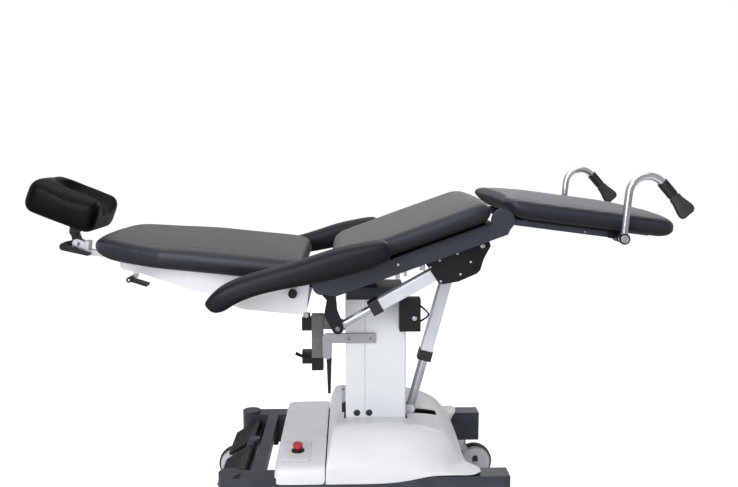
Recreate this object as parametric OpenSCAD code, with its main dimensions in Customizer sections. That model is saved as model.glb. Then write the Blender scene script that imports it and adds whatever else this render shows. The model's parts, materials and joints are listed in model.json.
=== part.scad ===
// Ophthalmic surgical bed: a mobile base with a lifting column, a tilting seat frame,
// a backrest with head pad and armrests, and a leg section with two hooks.
// X runs from the head end to the foot end, Y across, Z up from the floor.

/* [Base] */
// Length of the base rails
rail_l = 842; // [800:1:900]
// Width of the base over its rails
base_w = 606; // [590:1:640]
// Width of one base rail
rail_w = 63; // [56:1:66]
// Depth of one base rail
rail_h = 100; // [90:1:105]
// Height of the rails' top faces above the floor
rail_top = 250; // [248:1:262]
// Wall of a base rail
rail_wall = 4; // [2:0.5:6]
// Rise of the head-end posts above the rails
post_rise = 8; // [3:1:14]
// Distance from the rails' foot end back to the column axis
column_to_foot = 380; // [350:1:400]
// Depth and width of the square bar across the head end
cross_bar = 34; // [28:1:44]
// Distance of that bar behind the column axis
cross_bar_back = 350; // [342:1:358]
// Width of the two main cross beams
beam_w = 40; // [30:1:50]
// Depth of the two main cross beams
beam_h = 60; // [40:1:70]
// Thickness of the centre plate
base_plate_t = 12; // [8:1:14]

/* [Casters] */
// Diameter of a wheel over its tyre
wheel_d = 125; // [115:1:126]
// Width of a tyre
tyre_w = 30; // [24:1:34]
// Thickness of the rubber
tyre_t = 6; // [5:1:12]
// Diameter of an axle
axle_d = 12; // [8:1:14]
// Distance of a wheel's axle from its swivel axis
caster_trail = 57; // [45:1:60]
// Thickness of a fork's leg
fork_t = 5; // [3:0.5:7]
// Diameter of a fork's stem
stem_d = 16; // [12:1:20]
// Length of a fork's stem
stem_l = 60; // [40:1:80]

/* [Covers] */
// Height of the covers' lower edge above the floor
cover_low = 233; // [225:1:240]
// Height of the low deck of both covers
deck_z = 287; // [280:1:292]
// Height of the main cover's ridges
ridge_z = 382; // [372:1:386]
// Wall of both covers
cover_wall = 4; // [2.5:0.5:6]
// Width of the covers where they pass over the rails
cover_w = 620; // [618:1:640]
// Distance between the two ridges of the main cover
ridge_w = 400; // [360:1:430]
// Sag of the trough between the ridges
trough = 26; // [10:1:32]
// Length of the main cover behind the column axis
cover_back = 152; // [146:1:155]
// Length of the main cover in front of the column axis
cover_front = 300; // [280:1:320]
// Length of the low head-end cover
head_cover_l = 148; // [140:1:156]
// Diameter of the stop button
button_d = 30; // [24:1:36]
// Travel of the stop button
button_travel = 5; // [3:0.5:6]

/* [Pedals] */
// Length of the pedal housing along the bed
pedal_box_l = 87; // [76:1:94]
// Width of one foot pedal
pedal_w = 190; // [170:1:194]
// Length of one foot pedal
pedal_l = 78; // [70:1:80]
// Thickness of a pedal plate
pedal_t = 9; // [6:1:12]
// Diameter of the brake pedal's round pad
brake_pad_d = 36; // [30:1:38]

/* [Column] */
// Length of the outer column along the bed
column_l = 188; // [180:1:194]
// Width of the outer column across the bed
column_w = 160; // [150:1:166]
// Wall of the outer column
column_wall = 6; // [4:0.5:8]
// Height of the outer column's top above the floor
column_top = 725; // [700:1:760]
// Height of the outer column's lower end at rest
column_low = 340; // [338:1:350]
// Length of the fixed inner mast along the bed
mast_l = 150; // [140:1:156]
// Width of the fixed inner mast
mast_w = 122; // [114:1:128]
// Height of the mast's top above the floor
mast_top = 515; // [480:1:530]
// Diameter of the lift rod
lift_rod_d = 30; // [24:1:36]

/* [Frame angles and pivots] */
// Column axis in front of the middle of the whole bed
column_x = 84.87; // [60:0.01:110]
// Height of the tilt pivot above the column's top
tilt_rise = 70; // [64:1:76]
// Distance of the tilt pivot behind the column axis
tilt_back = 40; // [34:1:46]
// Diameter of the tilt pivot's pin
tilt_pin_d = 20; // [16:1:24]
// Distance of the back hinge behind the column axis
hinge_back = 160; // [154:1:166]
// Height of the back hinge above the tilt pivot
hinge_rise = 6; // [2:1:12]
// Seat slope at rest, front end up, in degrees
seat_angle = 19.8; // [18:0.2:21]
// Back slope at rest, head end up, in degrees
back_angle = 6; // [4:0.5:8]
// Leg section slope at rest, foot end down, in degrees
leg_angle = 7.5; // [5:0.5:10]

/* [Seat] */
// Distance from the back hinge to the leg hinge
seat_l = 544; // [530:1:560]
// Distance between the outer faces of the side plates
plates_w = 524; // [514:1:534]
// Thickness of a side plate
plate_t = 10; // [6:1:14]
// Depth of a side plate below the hinge line
plate_low = 43; // [36:1:50]
// Height of a side plate above the hinge line
plate_high = 5; // [2:0.5:7]
// Radius of a side plate's front end
plate_front_r = 33; // [28:1:34]
// Radius of a side plate's rear end
plate_rear_r = 27; // [24:1:29]
// Diameter of the back and leg hinge pins
hinge_pin_d = 20; // [14:1:22]
// Side of the square cross tubes
cross_tube = 30; // [24:1:32]
// Thickness of the pan under a cushion
pan_t = 4; // [2:0.5:4.5]

/* [Cushions] */
// Width of the main cushions
cushion_w = 600; // [590:1:610]
// Thickness of the seat cushion
seat_cushion_t = 76; // [70:1:80]
// Thickness of the back cushion
back_cushion_t = 84; // [76:1:88]
// Thickness of the leg cushion
leg_cushion_t = 66; // [60:1:70]
// Crown of a main cushion
crown = 6; // [2:1:10]
// Length of the back cushion
back_cushion_l = 644; // [630:1:650]

/* [Back] */
// Length of the white back shell
shell_l = 606; // [590:1:612]
// Width of the back shell
shell_w = 460; // [450:1:466]
// Depth of the back shell at its hinge end
shell_deep = 96; // [86:1:98]
// Wall of the back shell
shell_wall = 4; // [2.5:0.5:6]
// Distance between the middle of the levers and the middle of the bed
lever_y = 190; // [184:1:196]
// Thickness of one lever plate
lever_t = 8; // [5:1:9]
// Length of the head bar
head_bar_l = 265; // [245:1:275]
// Width of the head bar
head_bar_w = 36; // [30:1:40]
// Thickness of the head bar
head_bar_t = 16; // [12:1:17]
// Diameter of the armrest spindles
spindle_d = 24; // [18:1:26]

/* [Head pad] */
// Length of the head pad
pad_l = 225; // [210:1:232]
// Width of the head pad
pad_w = 250; // [235:1:265]
// Thickness of the head pad
pad_t = 110; // [100:1:114]
// Radius of the hollow for the head
hollow_r = 85; // [78:1:88]
// Slope of the head pad against the back, head end up, in degrees
pad_angle = 15.5; // [12:0.5:18]

/* [Armrests] */
// Length of an armrest
arm_l = 522; // [500:1:528]
// Width of an armrest
arm_w = 70; // [60:1:76]
// Nominal height of an armrest
arm_h = 80; // [72:1:84]
// Distance of an armrest's inner face from the middle of the bed
arm_in = 320; // [314:1:326]
// Slope of an armrest, front end up, in degrees
arm_angle = 17; // [15:0.5:19]

/* [Leg section] */
// Length of a leg rail beyond its hinge
leg_rail_l = 345; // [339:1:350]
// Depth of a leg rail below its hinge
leg_rail_low = 10; // [8:1:12]
// Thickness of a leg rail
leg_rail_t = 12; // [8:1:14]
// Length of the leg cushion
leg_cushion_l = 505; // [485:1:515]

/* [Hooks] */
// Distance of a hook's tube from the middle of the bed
hook_y = 314; // [312:1:318]
// Diameter of a hook's tube
hook_d = 21; // [18:1:22]
// Length of a hook's straight rise
hook_rise = 126; // [110:1:135]
// Radius of a hook's bend
hook_bend = 52; // [46:1:58]
// Turn of a hook's bend in degrees
hook_turn = 134; // [125:1:140]
// Length of a hook's grip
grip_l = 118; // [105:1:128]

/* [Actuators] */
// Side of the square outer tubes
outer_tube = 38; // [34:1:39]
// Diameter of the back actuator's rod
back_rod_d = 23.4; // [20:0.2:23.6]
// Diameter of the tilt actuator's rod
tilt_rod_d = 29; // [24:1:30]
// Side of the black collars
collar = 44; // [41:1:46]
// Length of the black collars
collar_l = 32; // [24:1:36]
// Diameter of the actuators' pivot pins
act_pin_d = 16; // [12:1:18]

/* [Hidden] */

// Colours as they show
frame_colour = "#3d4450";
white_colour = "#e6e7ea";
black_colour = "#1d1d20";
steel_colour = "#c8cacd";
tube_colour = "#dfe3ea";
bronze_colour = "#7b7870";
bracket_colour = "#9a9a9e";
cushion_colour = "#55565e";
pad_colour = "#121214";
red_colour = "#d03040";

// Facets of a round piece
$fn = 48;
// Overrun of every cut
over = 1;
// Radial clearance of a pin or shaft that turns or slides in its hole
fit = 0.06;
// Gap between faces that pass or rest near each other
face_gap = 0.3;
// Gap between a moving piece and what it swings past
swing_gap = 2.5;
// How far a link's straight sides lie inside its end discs
link_lap = 0.05;

// Base places
post_r = rail_w / 2;
rail_low = rail_top - rail_h;
rail_y = (base_w - rail_w) / 2;
rail_in = rail_y - post_r;
rail_foot_x = column_x + column_to_foot;
rail_head_x = rail_foot_x - rail_l;
post_head_x = rail_head_x + post_r;
post_foot_x = rail_foot_x - post_r;
// Swivel axis of the casters at the foot end
caster_in = 36;
caster_foot_x = post_foot_x - caster_in;
cross_bar_x = column_x - cross_bar_back;
base_plate_top = rail_low + base_plate_t;
// Room between the cross beams for the column and the tilt actuator's foot
well_back = 130;
well_front = 165;

// Caster places
wheel_r = wheel_d / 2;
wheel_room = 4;
crown_low = wheel_d + wheel_room;
crown_h = rail_low - face_gap - crown_low;
crown_r = 26;
leg_in = tyre_w / 2 + swing_gap;
axle_boss_r = 11;
hub_r = wheel_r - tyre_t;
hub_rim = 6;
hub_dish = 5;
hub_boss_r = 15;
hub_w = tyre_w - 4 * fork_t / 5;

// Cover places
cover_round = 14;
cover_head_x = column_x - cover_back;
deck_half = cover_w / 2;
ridge_half = ridge_w / 2;
// Main cover outlines as shares: along the front and the height above the lower edge
cover_side_shares = [[0.277, 1], [0.49, 0.839], [0.64, 0.691], [0.79, 0.463], [0.87, 0.26], [1, 0.06], [1, 0]];
// Main cover's plan at the foot end as shares of its front length and half width
cover_plan_shares = [[0.15, 1], [0.467, 0.803], [0.86, 0.803], [0.95, 0.687], [1, 0.529]];
// Slope of the main cover's rear face
cover_lean = 25;
// Openings in the main cover
column_gap = 5;
foot_reach = 41;
// Slot for the tilt actuator when the column is down
rod_slot_l = 62;
rod_slot_w = 52;
slot_l = 22;
slot_w = 20;
// Ribs that seat the covers on the rails
rib_l = 30;
// Stop button on the head-end cover
button_back = 237;
button_y = -195;
button_stem_d = 16;
button_collar_d = 38;
button_collar_h = 8;
button_head_h = 11;
button_dome_h = 5;

// Pedal places
pedal_box_low = 26;
pedal_box_h = 62;
pedal_box_gap = 18;
pedal_box_x = cross_bar_x - cross_bar / 2 - pedal_box_gap - pedal_box_l;
pedal_box_w = 2 * rail_in - 2 * face_gap;
pedal_axis_d = 12;
pedal_axis_back = 20;
pedal_axis_x = pedal_box_x + pedal_box_l - pedal_axis_back;
pedal_axis_up = 16;
pedal_axis_z = rail_low + pedal_box_h + pedal_axis_up;
pedal_slope = -32;
pedal_eye_r = 11;
pedal_mid_y = 118;
pedal_ribs = 7;
pedal_rib_h = 2;
pedal_ear_t = 10;
pedal_ear_y = [for (side = [-1, 1], end = [-1, 1])
  side * pedal_mid_y + end * (pedal_w / 2 + pedal_ear_t / 2 + face_gap)];
brake_arm_w = 24;
brake_reach = 13;
brake_off = 24;
brake_pad_t = 8;

// Column places
shell_x0 = column_x - column_l / 2;
column_plate_t = 12;
seam_back = 33;
seam_w = 2;
seam_deep = 1.5;
guide_w = 24;
guide_l = 150;
mast_wall = 6;
lift_tube_wall = 8;
lift_tube_d = lift_rod_d + 2 * lift_tube_wall;
lift_rod_up = 5;
lift_rod_low = column_low + lift_rod_up;

// Upper frame places
tilt_x = column_x - tilt_back;
tilt_z = column_top + tilt_rise;
hinge_x = column_x - hinge_back;
hinge_z = tilt_z + hinge_rise;
leg_x = hinge_x + seat_l * cos(seat_angle);
leg_z = hinge_z + seat_l * sin(seat_angle);
// Tilt pivot seen in the seat's own directions
tilt_u = (tilt_x - hinge_x) * cos(seat_angle) + (tilt_z - hinge_z) * sin(seat_angle);
tilt_w = (tilt_z - hinge_z) * cos(seat_angle) - (tilt_x - hinge_x) * sin(seat_angle);

// Yoke
yoke_plate_t = 8;
yoke_l = 140;
yoke_w = 130;
ear_t = 10;
ear_out = 60;
ear_r = 22;
ear_foot = 40;
// Black cover round the yoke
yoke_box_back = 90;
yoke_box_front = 86;
yoke_box_w = 148;
yoke_box_h = 37;

// Motor box on the column
motor_l = 64;
motor_w = 48;
motor_h = 100;
motor_up = 10;
motor_x = 70;

// Grey bracket on the column's near face
l_bar = 30;
l_bar_t = 10;
l_arm_l = 133;
l_drop = 74;
l_top = 104;
l_out = 165;
l_hole_d = 9;
l_hole_out = 83;
l_hole_pitch = 68;

// Bronze-grey tube and its clamps
tube_side = 36;
tube_wall = 3;
tube_top = 51;
tube_l = 135;
tube_block_l = 40;
tube_back = 199;
tube_y = -50;
tube_arm_t = 30;
tube_arm_h = 44;
clamp_h = 38;
clamp_deep = 30;
clamp_top = 61;
low_clamp_top = 166;
knob_d = 22;
knob_h = 14;
knob_stem_d = 8;
handle_l = 38;
handle_d = 11;
handle_lean = 65;

// Cable guide
guide_top = 180;
guide_drop = 118;
guide_t = 8;
guide_wide = 16;
guide_tip = 9;
guide_back = 145;
guide_x = column_x - guide_back;
guide_y = -column_w / 2 + guide_t;

// Seat frame
plate_in = plates_w / 2 - plate_t;
tube_shares = [0.125, 0.5, 0.9];
cushion_low = plate_high + face_gap + 3 * over;
pin_deep = 34;
pan_back = 60;
pan_front = 44;
pan_w = 480;
lug_t = 12;
lug_out = ear_out + ear_t + lug_t;
lug_in = ear_out + face_gap;
lug_r = 20;
lug_l = 60;

// Tilt actuator: foot on the column, top under the seat
tilt_foot_out = 113;
tilt_foot_up = 15;
tilt_foot_x = column_x + tilt_foot_out;
tilt_foot_z = column_low + tilt_foot_up;
tilt_top_u = 387;
tilt_top_w = -108.5;
tilt_top_x = hinge_x + tilt_top_u * cos(seat_angle) - tilt_top_w * sin(seat_angle);
tilt_top_z = hinge_z + tilt_top_u * sin(seat_angle) + tilt_top_w * cos(seat_angle);
tilt_run = norm([tilt_top_x - tilt_foot_x, tilt_top_z - tilt_foot_z]);
tilt_lean = atan2(tilt_top_z - tilt_foot_z, tilt_top_x - tilt_foot_x);
tilt_collar_at = 165;
tilt_rod_l = 350;
eye_r = 15;
eye_t = 22;
foot_ear_t = 8;
eye_gap = 0.5;
foot_ear_in = eye_t / 2 + eye_gap;
clevis_in = 23;
clevis_t = 7;
clevis_r = 18;
clevis_l = 50;

// Back actuator: motor end under the seat, rod end at the levers
act_u = 439.6;
act_w = -69;
lever_pin_x = 44;
lever_pin_z = -136;
act_x = hinge_x + act_u * cos(seat_angle) - act_w * sin(seat_angle);
act_z = hinge_z + act_u * sin(seat_angle) + act_w * cos(seat_angle);
pin_x = hinge_x + lever_pin_x;
pin_z = hinge_z + lever_pin_z;
act_run = norm([act_x - pin_x, act_z - pin_z]);
act_lean = atan2(pin_z - act_z, pin_x - act_x);
act_collar_at = 308;
act_rod_from = 120;
box_gap = 3;
box_in = outer_tube / 2 + box_gap;
box_t = 6;
stud_d = 10;
act_eye_t = 20;
// Length over which the rod is flat on its way to the eye
act_flat_l = 24;
lever_gap = 2;
lever_in = act_eye_t / 2 + lever_gap;
// Gearbox plate: its place in the seat's directions and its outline as shares of its length and depth
gear_u = 301;
gear_l = 193;
gear_deep = 92;
gear_top = -plate_low + 4 * over;
gear_shares = [[0, 0], [0, 0.163], [0.078, 0.837], [0.119, 0.902], [0.368, 1], [0.668, 0.957],
  [0.731, 0.891], [0.834, 0.598], [1, 0.272], [1, 0]];
gear_screw_shares = [[0.041, 0.25], [0.207, 0.152], [0.492, 0.141], [0.637, 0.533], [0.43, 0.793],
  [0.119, 0.793]];
gear_outline = [for (s = gear_shares) [gear_u + s[0] * gear_l, gear_top - s[1] * gear_deep]];
gear_screws = [for (s = gear_screw_shares) [gear_u + s[0] * gear_l, gear_top - s[1] * gear_deep]];
gear_foot_u = gear_u + gear_l;

// Lever outline: run, drop and radius as shares of its drop and of its top radius
lever_r = 25;
lever_tip_share = 0.68;
lever_shares = [[0, 0, 1], [0.191, 0.353, 0.52], [0.176, 0.691, 0.76]];
lever_points = concat([for (s = lever_shares) [-s[0] * lever_pin_z, s[1] * lever_pin_z, s[2] * lever_r]],
  [[lever_pin_x, lever_pin_z, lever_tip_share * lever_r]]);

// Back shell outlines: share of the length, share of the depth
shell_start = 20;
shell_side_shares = [[0, 0], [0, 0.72], [0.045, 0.97], [0.1, 1], [0.34, 1], [0.43, 0.86], [0.52, 0.62],
  [0.66, 0.49], [0.88, 0.32], [0.96, 0.31], [0.985, 0.25], [1, 0]];
// Back shell plan: share of the length, share of the half width
shell_plan_shares = [[0, 1], [0.62, 1], [0.9, 0.72], [0.97, 0.66], [1, 0.58]];
back_start = 50;
back_low = face_gap;
// Back frame pieces inside the shell
hinge_tube_r = 18;
arm_bar = 22;
arm_bar_y = 150;
arm_bar_l = 430;
rung_from = 240;
socket_from = 430;
socket_l = 175;
socket_wall = 5;
bar_top = 4;
spindle_v = 250;
spindle_w = -40;
spindle_r = spindle_d / 2;

// Head bar, knuckle and pad
bar_from = 480;
block_l = 12;
block_h = 38;
knuckle_v = 25;
knuckle_w = 11.5;
knuckle_t = 15;
head_ear_t = 8;
head_ear_r = 15;
head_pin_d = 12;
pad_pin_d = 10;
pad_pivot_v = 13.8;
pad_pivot_w = 35.8;
lever_pivot_v = 36;
lever_pivot_w = -10.8;
lever_eye_r = 12;
lever_tip_r = 6;
lever_reach = 75;
lever_fall = 15;
lever_out = 22;
head_lever_t = 10;
bracket_plate_t = 8;
bracket_l = 100;
bracket_w = 84;
pad_low = 28;
pad_neck = 78;
hollow_up = 25;
hollow_back = 25;
knuckle_x = -(bar_from + head_bar_l + knuckle_v);

// Release lever and knob under the back shell
release_v = 548;
release_w = -44;
release_l = 53;
release_t = 8;
release_wide = 34;
release_y = -212;
release_ear_y = -150;
release_pin_d = 6;
release_slope = 12;
back_knob_v = 81;
back_knob_w = -35;
back_knob_d = 25;
back_knob_h = 17;

// Armrest stations: share of the length, top and underside as shares of the height, share of the width
arm_shares = [[0, 0.02, 0.05, 0.3], [0.01, 0.1, 0.22, 0.55], [0.03, 0.2, 0.4, 0.75],
  [0.082, 0.38, 0.43, 0.93], [0.119, 0.45, 0.35, 0.98], [0.174, 0.52, 0.25, 1], [0.291, 0.555, 0.2, 1],
  [0.46, 0.5, 0.32, 1], [0.6, 0.5, 0.45, 1], [0.69, 0.53, 0.49, 1], [0.79, 0.5, 0.52, 1],
  [0.908, 0.34, 0.5, 1], [0.962, 0.25, 0.38, 0.9], [0.985, 0.17, 0.26, 0.76], [1, 0.1, 0.14, 0.5]];
arm_behind = 62;
arm_bore = 30;

// Leg section
leg_low = 10;
leg_lift = 28;
leg_start = -12;
leg_lug_r = 22;
leg_pan_from = 50;
leg_pan_l = 390;
leg_pan_w = 400;
rung_shares = [0.16, 0.9];
rung_side = 20;
hook_u = 329;
hook_w = -4;
clamp_r = 13;
clamp_l = 42;
clamp_lug = 24;
wing_stem_d = 6;
wing_reach = 14;
wing_span = 24;
wing_t = 5;
hook_lean = 85.5;
hook_end = 24;
// The bend is thicker than the straight ends, which reach a little into it
bend_step = 0.1;
bend_lap = 0.6;
grip_neck_r = 14;
grip_end_r = 24;
sleeve_share = 0.4;

// Cushion facets: points around a ring, first and last angle and step of a rounded end
ring_points = 24;
ring_first = 14;
ring_step = 19;
middle_rings = 5;
side_power = 0.4;
// How much of a cushion's underside is pressed flat
flat = 4;
edge_power = 0.5;
arm_power = 0.7;
// Cushion outlines: share of the length, share of the half width, of the rise or of the height
seat_from = 40;
seat_short = 16;
seat_width_shares = [[0, 1], [0.5, 0.985], [1, 0.99]];
back_over = 12;
back_width_shares = [[0, 0.717], [0.1, 0.757], [0.24, 0.9], [0.36, 0.99], [0.6, 0.985], [1, 1]];
back_high_shares = [[0, 0.9], [0.3, 0.9], [0.5, 1], [1, 1]];
leg_width_shares = [[0, 0.97], [0.15, 1], [0.6, 0.985], [1, 0.98]];
leg_lift_shares = [[0, 1], [0.03, 0.96], [0.05, 0.86], [0.07, 0.66], [0.09, 0.34], [0.11, 0], [1, 0]];
pad_width_shares = [[0, 0.94], [0.4, 1], [1, 0.96]];
even_shares = [[0, 1], [1, 1]];
// Radii of the cushions' ends: in plan and along the edges, at their start and at their end
seat_plan_r = [44, 40];
seat_edge_r = [50, 44];
back_plan_r = [90, 38];
back_edge_r = [44, 42];
leg_plan_r = [40, 44];
leg_edge_r = [18, 26];
pad_plan_r = [28, 22];
pad_edge_r = [22, 20];

// Signed power, for rounded sections
function spow(v, p) = v < 0 ? -pow(-v, p) : pow(v, p);

// One ring of a padded form in the plane square to X
function ring(st, half_w, top_crown, power) = let (mid = (st[2] + st[3]) / 2, half = (st[3] - st[2]) / 2)
  [for (k = [0 : ring_points - 1])
    let (a = 360 * k / ring_points, s = sin(a), y = st[1] * spow(cos(a), side_power),
      more = s > 0 ? top_crown * (1 - pow(y / half_w, 2)) * s : s < 0 ? -flat : 0)
    [st[0], y, max(st[2], mid + half * spow(s, power) + more)]];

// Stations of a cushion with two rounded ends: place, half width, underside, top
function end_rings(x, dir, plan_r, edge_r) = [for (a = [ring_first : ring_step : 90])
  [x + dir * plan_r * (1 - cos(a)), plan_r * (1 - sin(a)), edge_r * (1 - sin(a))]];

function flip(list) = [for (k = [len(list) - 1 : -1 : 0]) list[k]];

function stations(x0, x1, half_w, width_shares, low, rise, rise_shares, high, high_shares, plan_r, edge_r) =
  let (run = x1 - x0 - plan_r[0] - plan_r[1],
    middle = [for (k = [1 : middle_rings]) [x0 + plan_r[0] + run * k / (middle_rings + 1), 0, 0]],
    all = concat(end_rings(x0, 1, plan_r[0], edge_r[0]), middle, flip(end_rings(x1, -1, plan_r[1], edge_r[1]))))
  [for (st = all) let (s = (st[0] - x0) / (x1 - x0))
    [st[0], half_w * lookup(s, width_shares) - st[1], low + rise * lookup(s, rise_shares) + st[2],
      low + (high - low) * lookup(s, high_shares) - st[2]]];

// A closed form lofted through its rings
module loft(rings) {
  n = len(rings[0]);
  m = len(rings);
  points = [for (r = rings) for (p = r) p];
  sides = [for (i = [0 : m - 2]) for (k = [0 : n - 1]) let (a = i * n + k, b = i * n + (k + 1) % n)
    each [[a, a + n, b + n], [a, b + n, b]]];
  first = [for (k = [1 : n - 2]) [0, k, k + 1]];
  last = [for (k = [1 : n - 2]) [(m - 1) * n, (m - 1) * n + k + 1, (m - 1) * n + k]];
  polyhedron(points, concat(sides, first, last));
}

// A rod along Y between two places
module rod_y(x, z, r, y0, y1) {
  translate([x, y0, z]) rotate([-90, 0, 0]) cylinder(r = r, h = y1 - y0);
}

// A box between two corners
module box(a, b) {
  translate(a) cube(b - a);
}

// A flat outline in X and Z, made solid along Y between two places
module slab(y0, y1) {
  translate([0, y1, 0]) rotate([90, 0, 0]) linear_extrude(y1 - y0) children();
}

// Two discs, each given as place and radius, joined just inside their common tangents
module link(p, q) {
  d = norm([q[0] - p[0], q[1] - p[1]]);
  a = atan2(q[1] - p[1], q[0] - p[0]);
  b = acos((p[2] - q[2]) / d);
  pr = p[2] - link_lap;
  qr = q[2] - link_lap;
  translate([p[0], p[1]]) circle(r = p[2]);
  translate([q[0], q[1]]) circle(r = q[2]);
  polygon([
    [p[0] + pr * cos(a + b), p[1] + pr * sin(a + b)],
    [p[0] + pr * cos(a - b), p[1] + pr * sin(a - b)],
    [q[0] + qr * cos(a - b), q[1] + qr * sin(a - b)],
    [q[0] + qr * cos(a + b), q[1] + qr * sin(a + b)]]);
}

// A rectangle with round corners about the origin
module round_rect(l, w, r) {
  square([l - 2 * r, w], center = true);
  square([l, w - 2 * r], center = true);
  for (i = [-1, 1], j = [-1, 1]) translate([i * (l / 2 - r), j * (w / 2 - r)]) circle(r = r);
}

module both_sides() {
  children();
  mirror([0, 1, 0]) children();
}

// The frames of the seat, the back and the leg section, each with its hinge at the origin
module on_seat() {
  translate([hinge_x, 0, hinge_z]) rotate([0, -seat_angle, 0]) children();
}

module on_back() {
  translate([hinge_x, 0, hinge_z]) rotate([0, back_angle, 0]) children();
}

module on_leg() {
  translate([leg_x, 0, leg_z]) rotate([0, leg_angle, 0]) children();
}

// Base frame: two box rails with round posts, cross beams and the plate that carries the mast
module base_frame() {
  color(frame_colour) difference() {
    union() {
      both_sides() {
        difference() {
          box([post_head_x, rail_in, rail_low], [rail_foot_x, rail_y + post_r, rail_top]);
          box([post_head_x + post_r, rail_in + rail_wall, rail_low + rail_wall],
            [caster_foot_x - post_r, rail_y + post_r - rail_wall, rail_top - rail_wall]);
        }
        translate([post_head_x, rail_y, rail_low]) cylinder(r = post_r, h = rail_h + post_rise);
      }
      box([cross_bar_x - cross_bar / 2, -rail_in, rail_top - cross_bar],
        [cross_bar_x + cross_bar / 2, rail_in, rail_top]);
      for (x = [column_x - well_back - beam_w, column_x + well_front])
        box([x, -rail_in, rail_low], [x + beam_w, rail_in, rail_low + beam_h]);
      box([column_x - well_back, -rail_in, rail_low], [column_x + well_front, rail_in, base_plate_top]);
    }
    for (x = [post_head_x, caster_foot_x], y = [-rail_y, rail_y])
      translate([x, y, rail_low - over]) cylinder(r = stem_d / 2 + fit, h = stem_l + 2 * over);
  }
}

// One caster's place, trailing outward: dir is -1 at the head end and 1 at the foot end
module at_caster(dir, side) {
  translate([dir < 0 ? post_head_x : caster_foot_x, side * rail_y, 0])
    rotate([0, 0, dir < 0 ? 180 : 0]) children();
}

module caster_fork(dir, side) {
  color(steel_colour) at_caster(dir, side) {
    translate([0, 0, crown_low]) cylinder(r = crown_r, h = crown_h);
    translate([0, 0, crown_low + crown_h - over]) cylinder(d = stem_d, h = stem_l + face_gap + over);
    both_sides() slab(leg_in, leg_in + fork_t) {
      link([0, crown_low + crown_h - axle_boss_r, axle_boss_r], [caster_trail, wheel_r, axle_boss_r]);
    }
    rod_y(caster_trail, wheel_r, axle_d / 2, -leg_in - 2 * fork_t, leg_in + 2 * fork_t);
  }
}

module wheel_hub(dir, side) {
  h = hub_w / 2;
  color("#c9cbd0") at_caster(dir, side) translate([caster_trail, 0, wheel_r]) rotate([90, 0, 0])
    rotate_extrude() polygon([[axle_d / 2 + fit, -h], [hub_boss_r, -h], [hub_boss_r + over, hub_dish - h],
      [hub_r - hub_rim - over, hub_dish - h], [hub_r - hub_rim, -h], [hub_r, -h], [hub_r, h],
      [hub_r - hub_rim, h], [hub_r - hub_rim - over, h - hub_dish], [hub_boss_r + over, h - hub_dish],
      [hub_boss_r, h], [axle_d / 2 + fit, h]]);
}

module wheel_tyre(dir, side) {
  h = tyre_w / 2;
  color(black_colour) at_caster(dir, side) translate([caster_trail, 0, wheel_r]) rotate([90, 0, 0])
    rotate_extrude() polygon([[hub_r + fit, -h], [wheel_r - tyre_t / 2, -h], [wheel_r - tyre_t / 6, -0.8 * h],
      [wheel_r, -0.45 * h], [wheel_r, 0.45 * h], [wheel_r - tyre_t / 6, 0.8 * h], [wheel_r - tyre_t / 2, h],
      [hub_r + fit, h]]);
}

// Main cover outlines, drawn smaller by the wall for its inside
module cover_side(inset) {
  h = ridge_z - cover_low;
  offset(r = cover_round - inset) offset(delta = -cover_round) polygon(concat(
    [[cover_head_x, cover_low - cover_round], [cover_head_x, deck_z - cover_round], [cover_head_x + cover_lean, ridge_z]],
    [for (s = cover_side_shares) [column_x + s[0] * cover_front, cover_low + s[1] * h]],
    [[column_x + cover_front, cover_low - cover_round]]));
}

module cover_ends(inset) {
  offset(r = 2 * cover_round - inset) offset(delta = -2 * cover_round) polygon([[-deck_half, cover_low - 3 * cover_round],
    [-deck_half, deck_z], [-ridge_half, ridge_z], [ridge_half, ridge_z], [deck_half, deck_z],
    [deck_half, cover_low - 3 * cover_round]]);
}

module cover_plan(inset) {
  near = [for (s = cover_plan_shares) [column_x + s[0] * cover_front, -s[1] * deck_half]];
  far = [for (s = flip(cover_plan_shares)) [column_x + s[0] * cover_front, s[1] * deck_half]];
  offset(delta = -inset) polygon(concat([[cover_head_x, -deck_half]], near, far, [[cover_head_x, deck_half]]));
}

module cover_form(inset) {
  intersection() {
    slab(-deck_half, deck_half) cover_side(inset);
    translate([cover_head_x, 0, 0]) rotate([90, 0, 90]) linear_extrude(cover_back + cover_front) cover_ends(inset);
    translate([0, 0, cover_low - inset]) linear_extrude(ridge_z - cover_low) cover_plan(inset);
  }
}

module base_cover() {
  trough_r = (pow(ridge_w / 2, 2) / trough + trough) / 2;
  color(white_colour) difference() {
    cover_form(0);
    difference() {
      cover_form(cover_wall);
      translate([column_x - cover_back, 0, ridge_z + trough_r - trough])
        rotate([0, 90, 0]) cylinder(r = trough_r + cover_wall, h = cover_back + cover_front, $fn = 96);
      for (x = [cover_head_x + 2 * rib_l, column_x + cover_back / 2], side = [-1, 1])
        box([x, side * rail_y - rib_l / 2, rail_top + face_gap], [x + cover_wall, side * rail_y + rib_l / 2, ridge_z]);
    }
    translate([column_x - cover_back, 0, ridge_z + trough_r - trough])
      rotate([0, 90, 0]) cylinder(r = trough_r, h = cover_back + cover_front, $fn = 96);
    box([shell_x0 - column_gap, -column_w / 2 - column_gap, cover_low],
      [column_x + column_l / 2 + foot_reach, column_w / 2 + column_gap, ridge_z + over]);
    box([column_x + column_l / 2, -rod_slot_w / 2, cover_low + 2 * rib_l],
      [column_x + column_l / 2 + foot_reach + rod_slot_l, rod_slot_w / 2, ridge_z + over]);
    box([guide_x - slot_l / 2, guide_y - slot_w / 2, cover_low], [guide_x + slot_l / 2, guide_y + slot_w / 2, ridge_z]);
    both_sides() box([rail_head_x, rail_in - face_gap, rail_low], [rail_foot_x, rail_y + post_r + face_gap, rail_top + face_gap]);
  }
}

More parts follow.
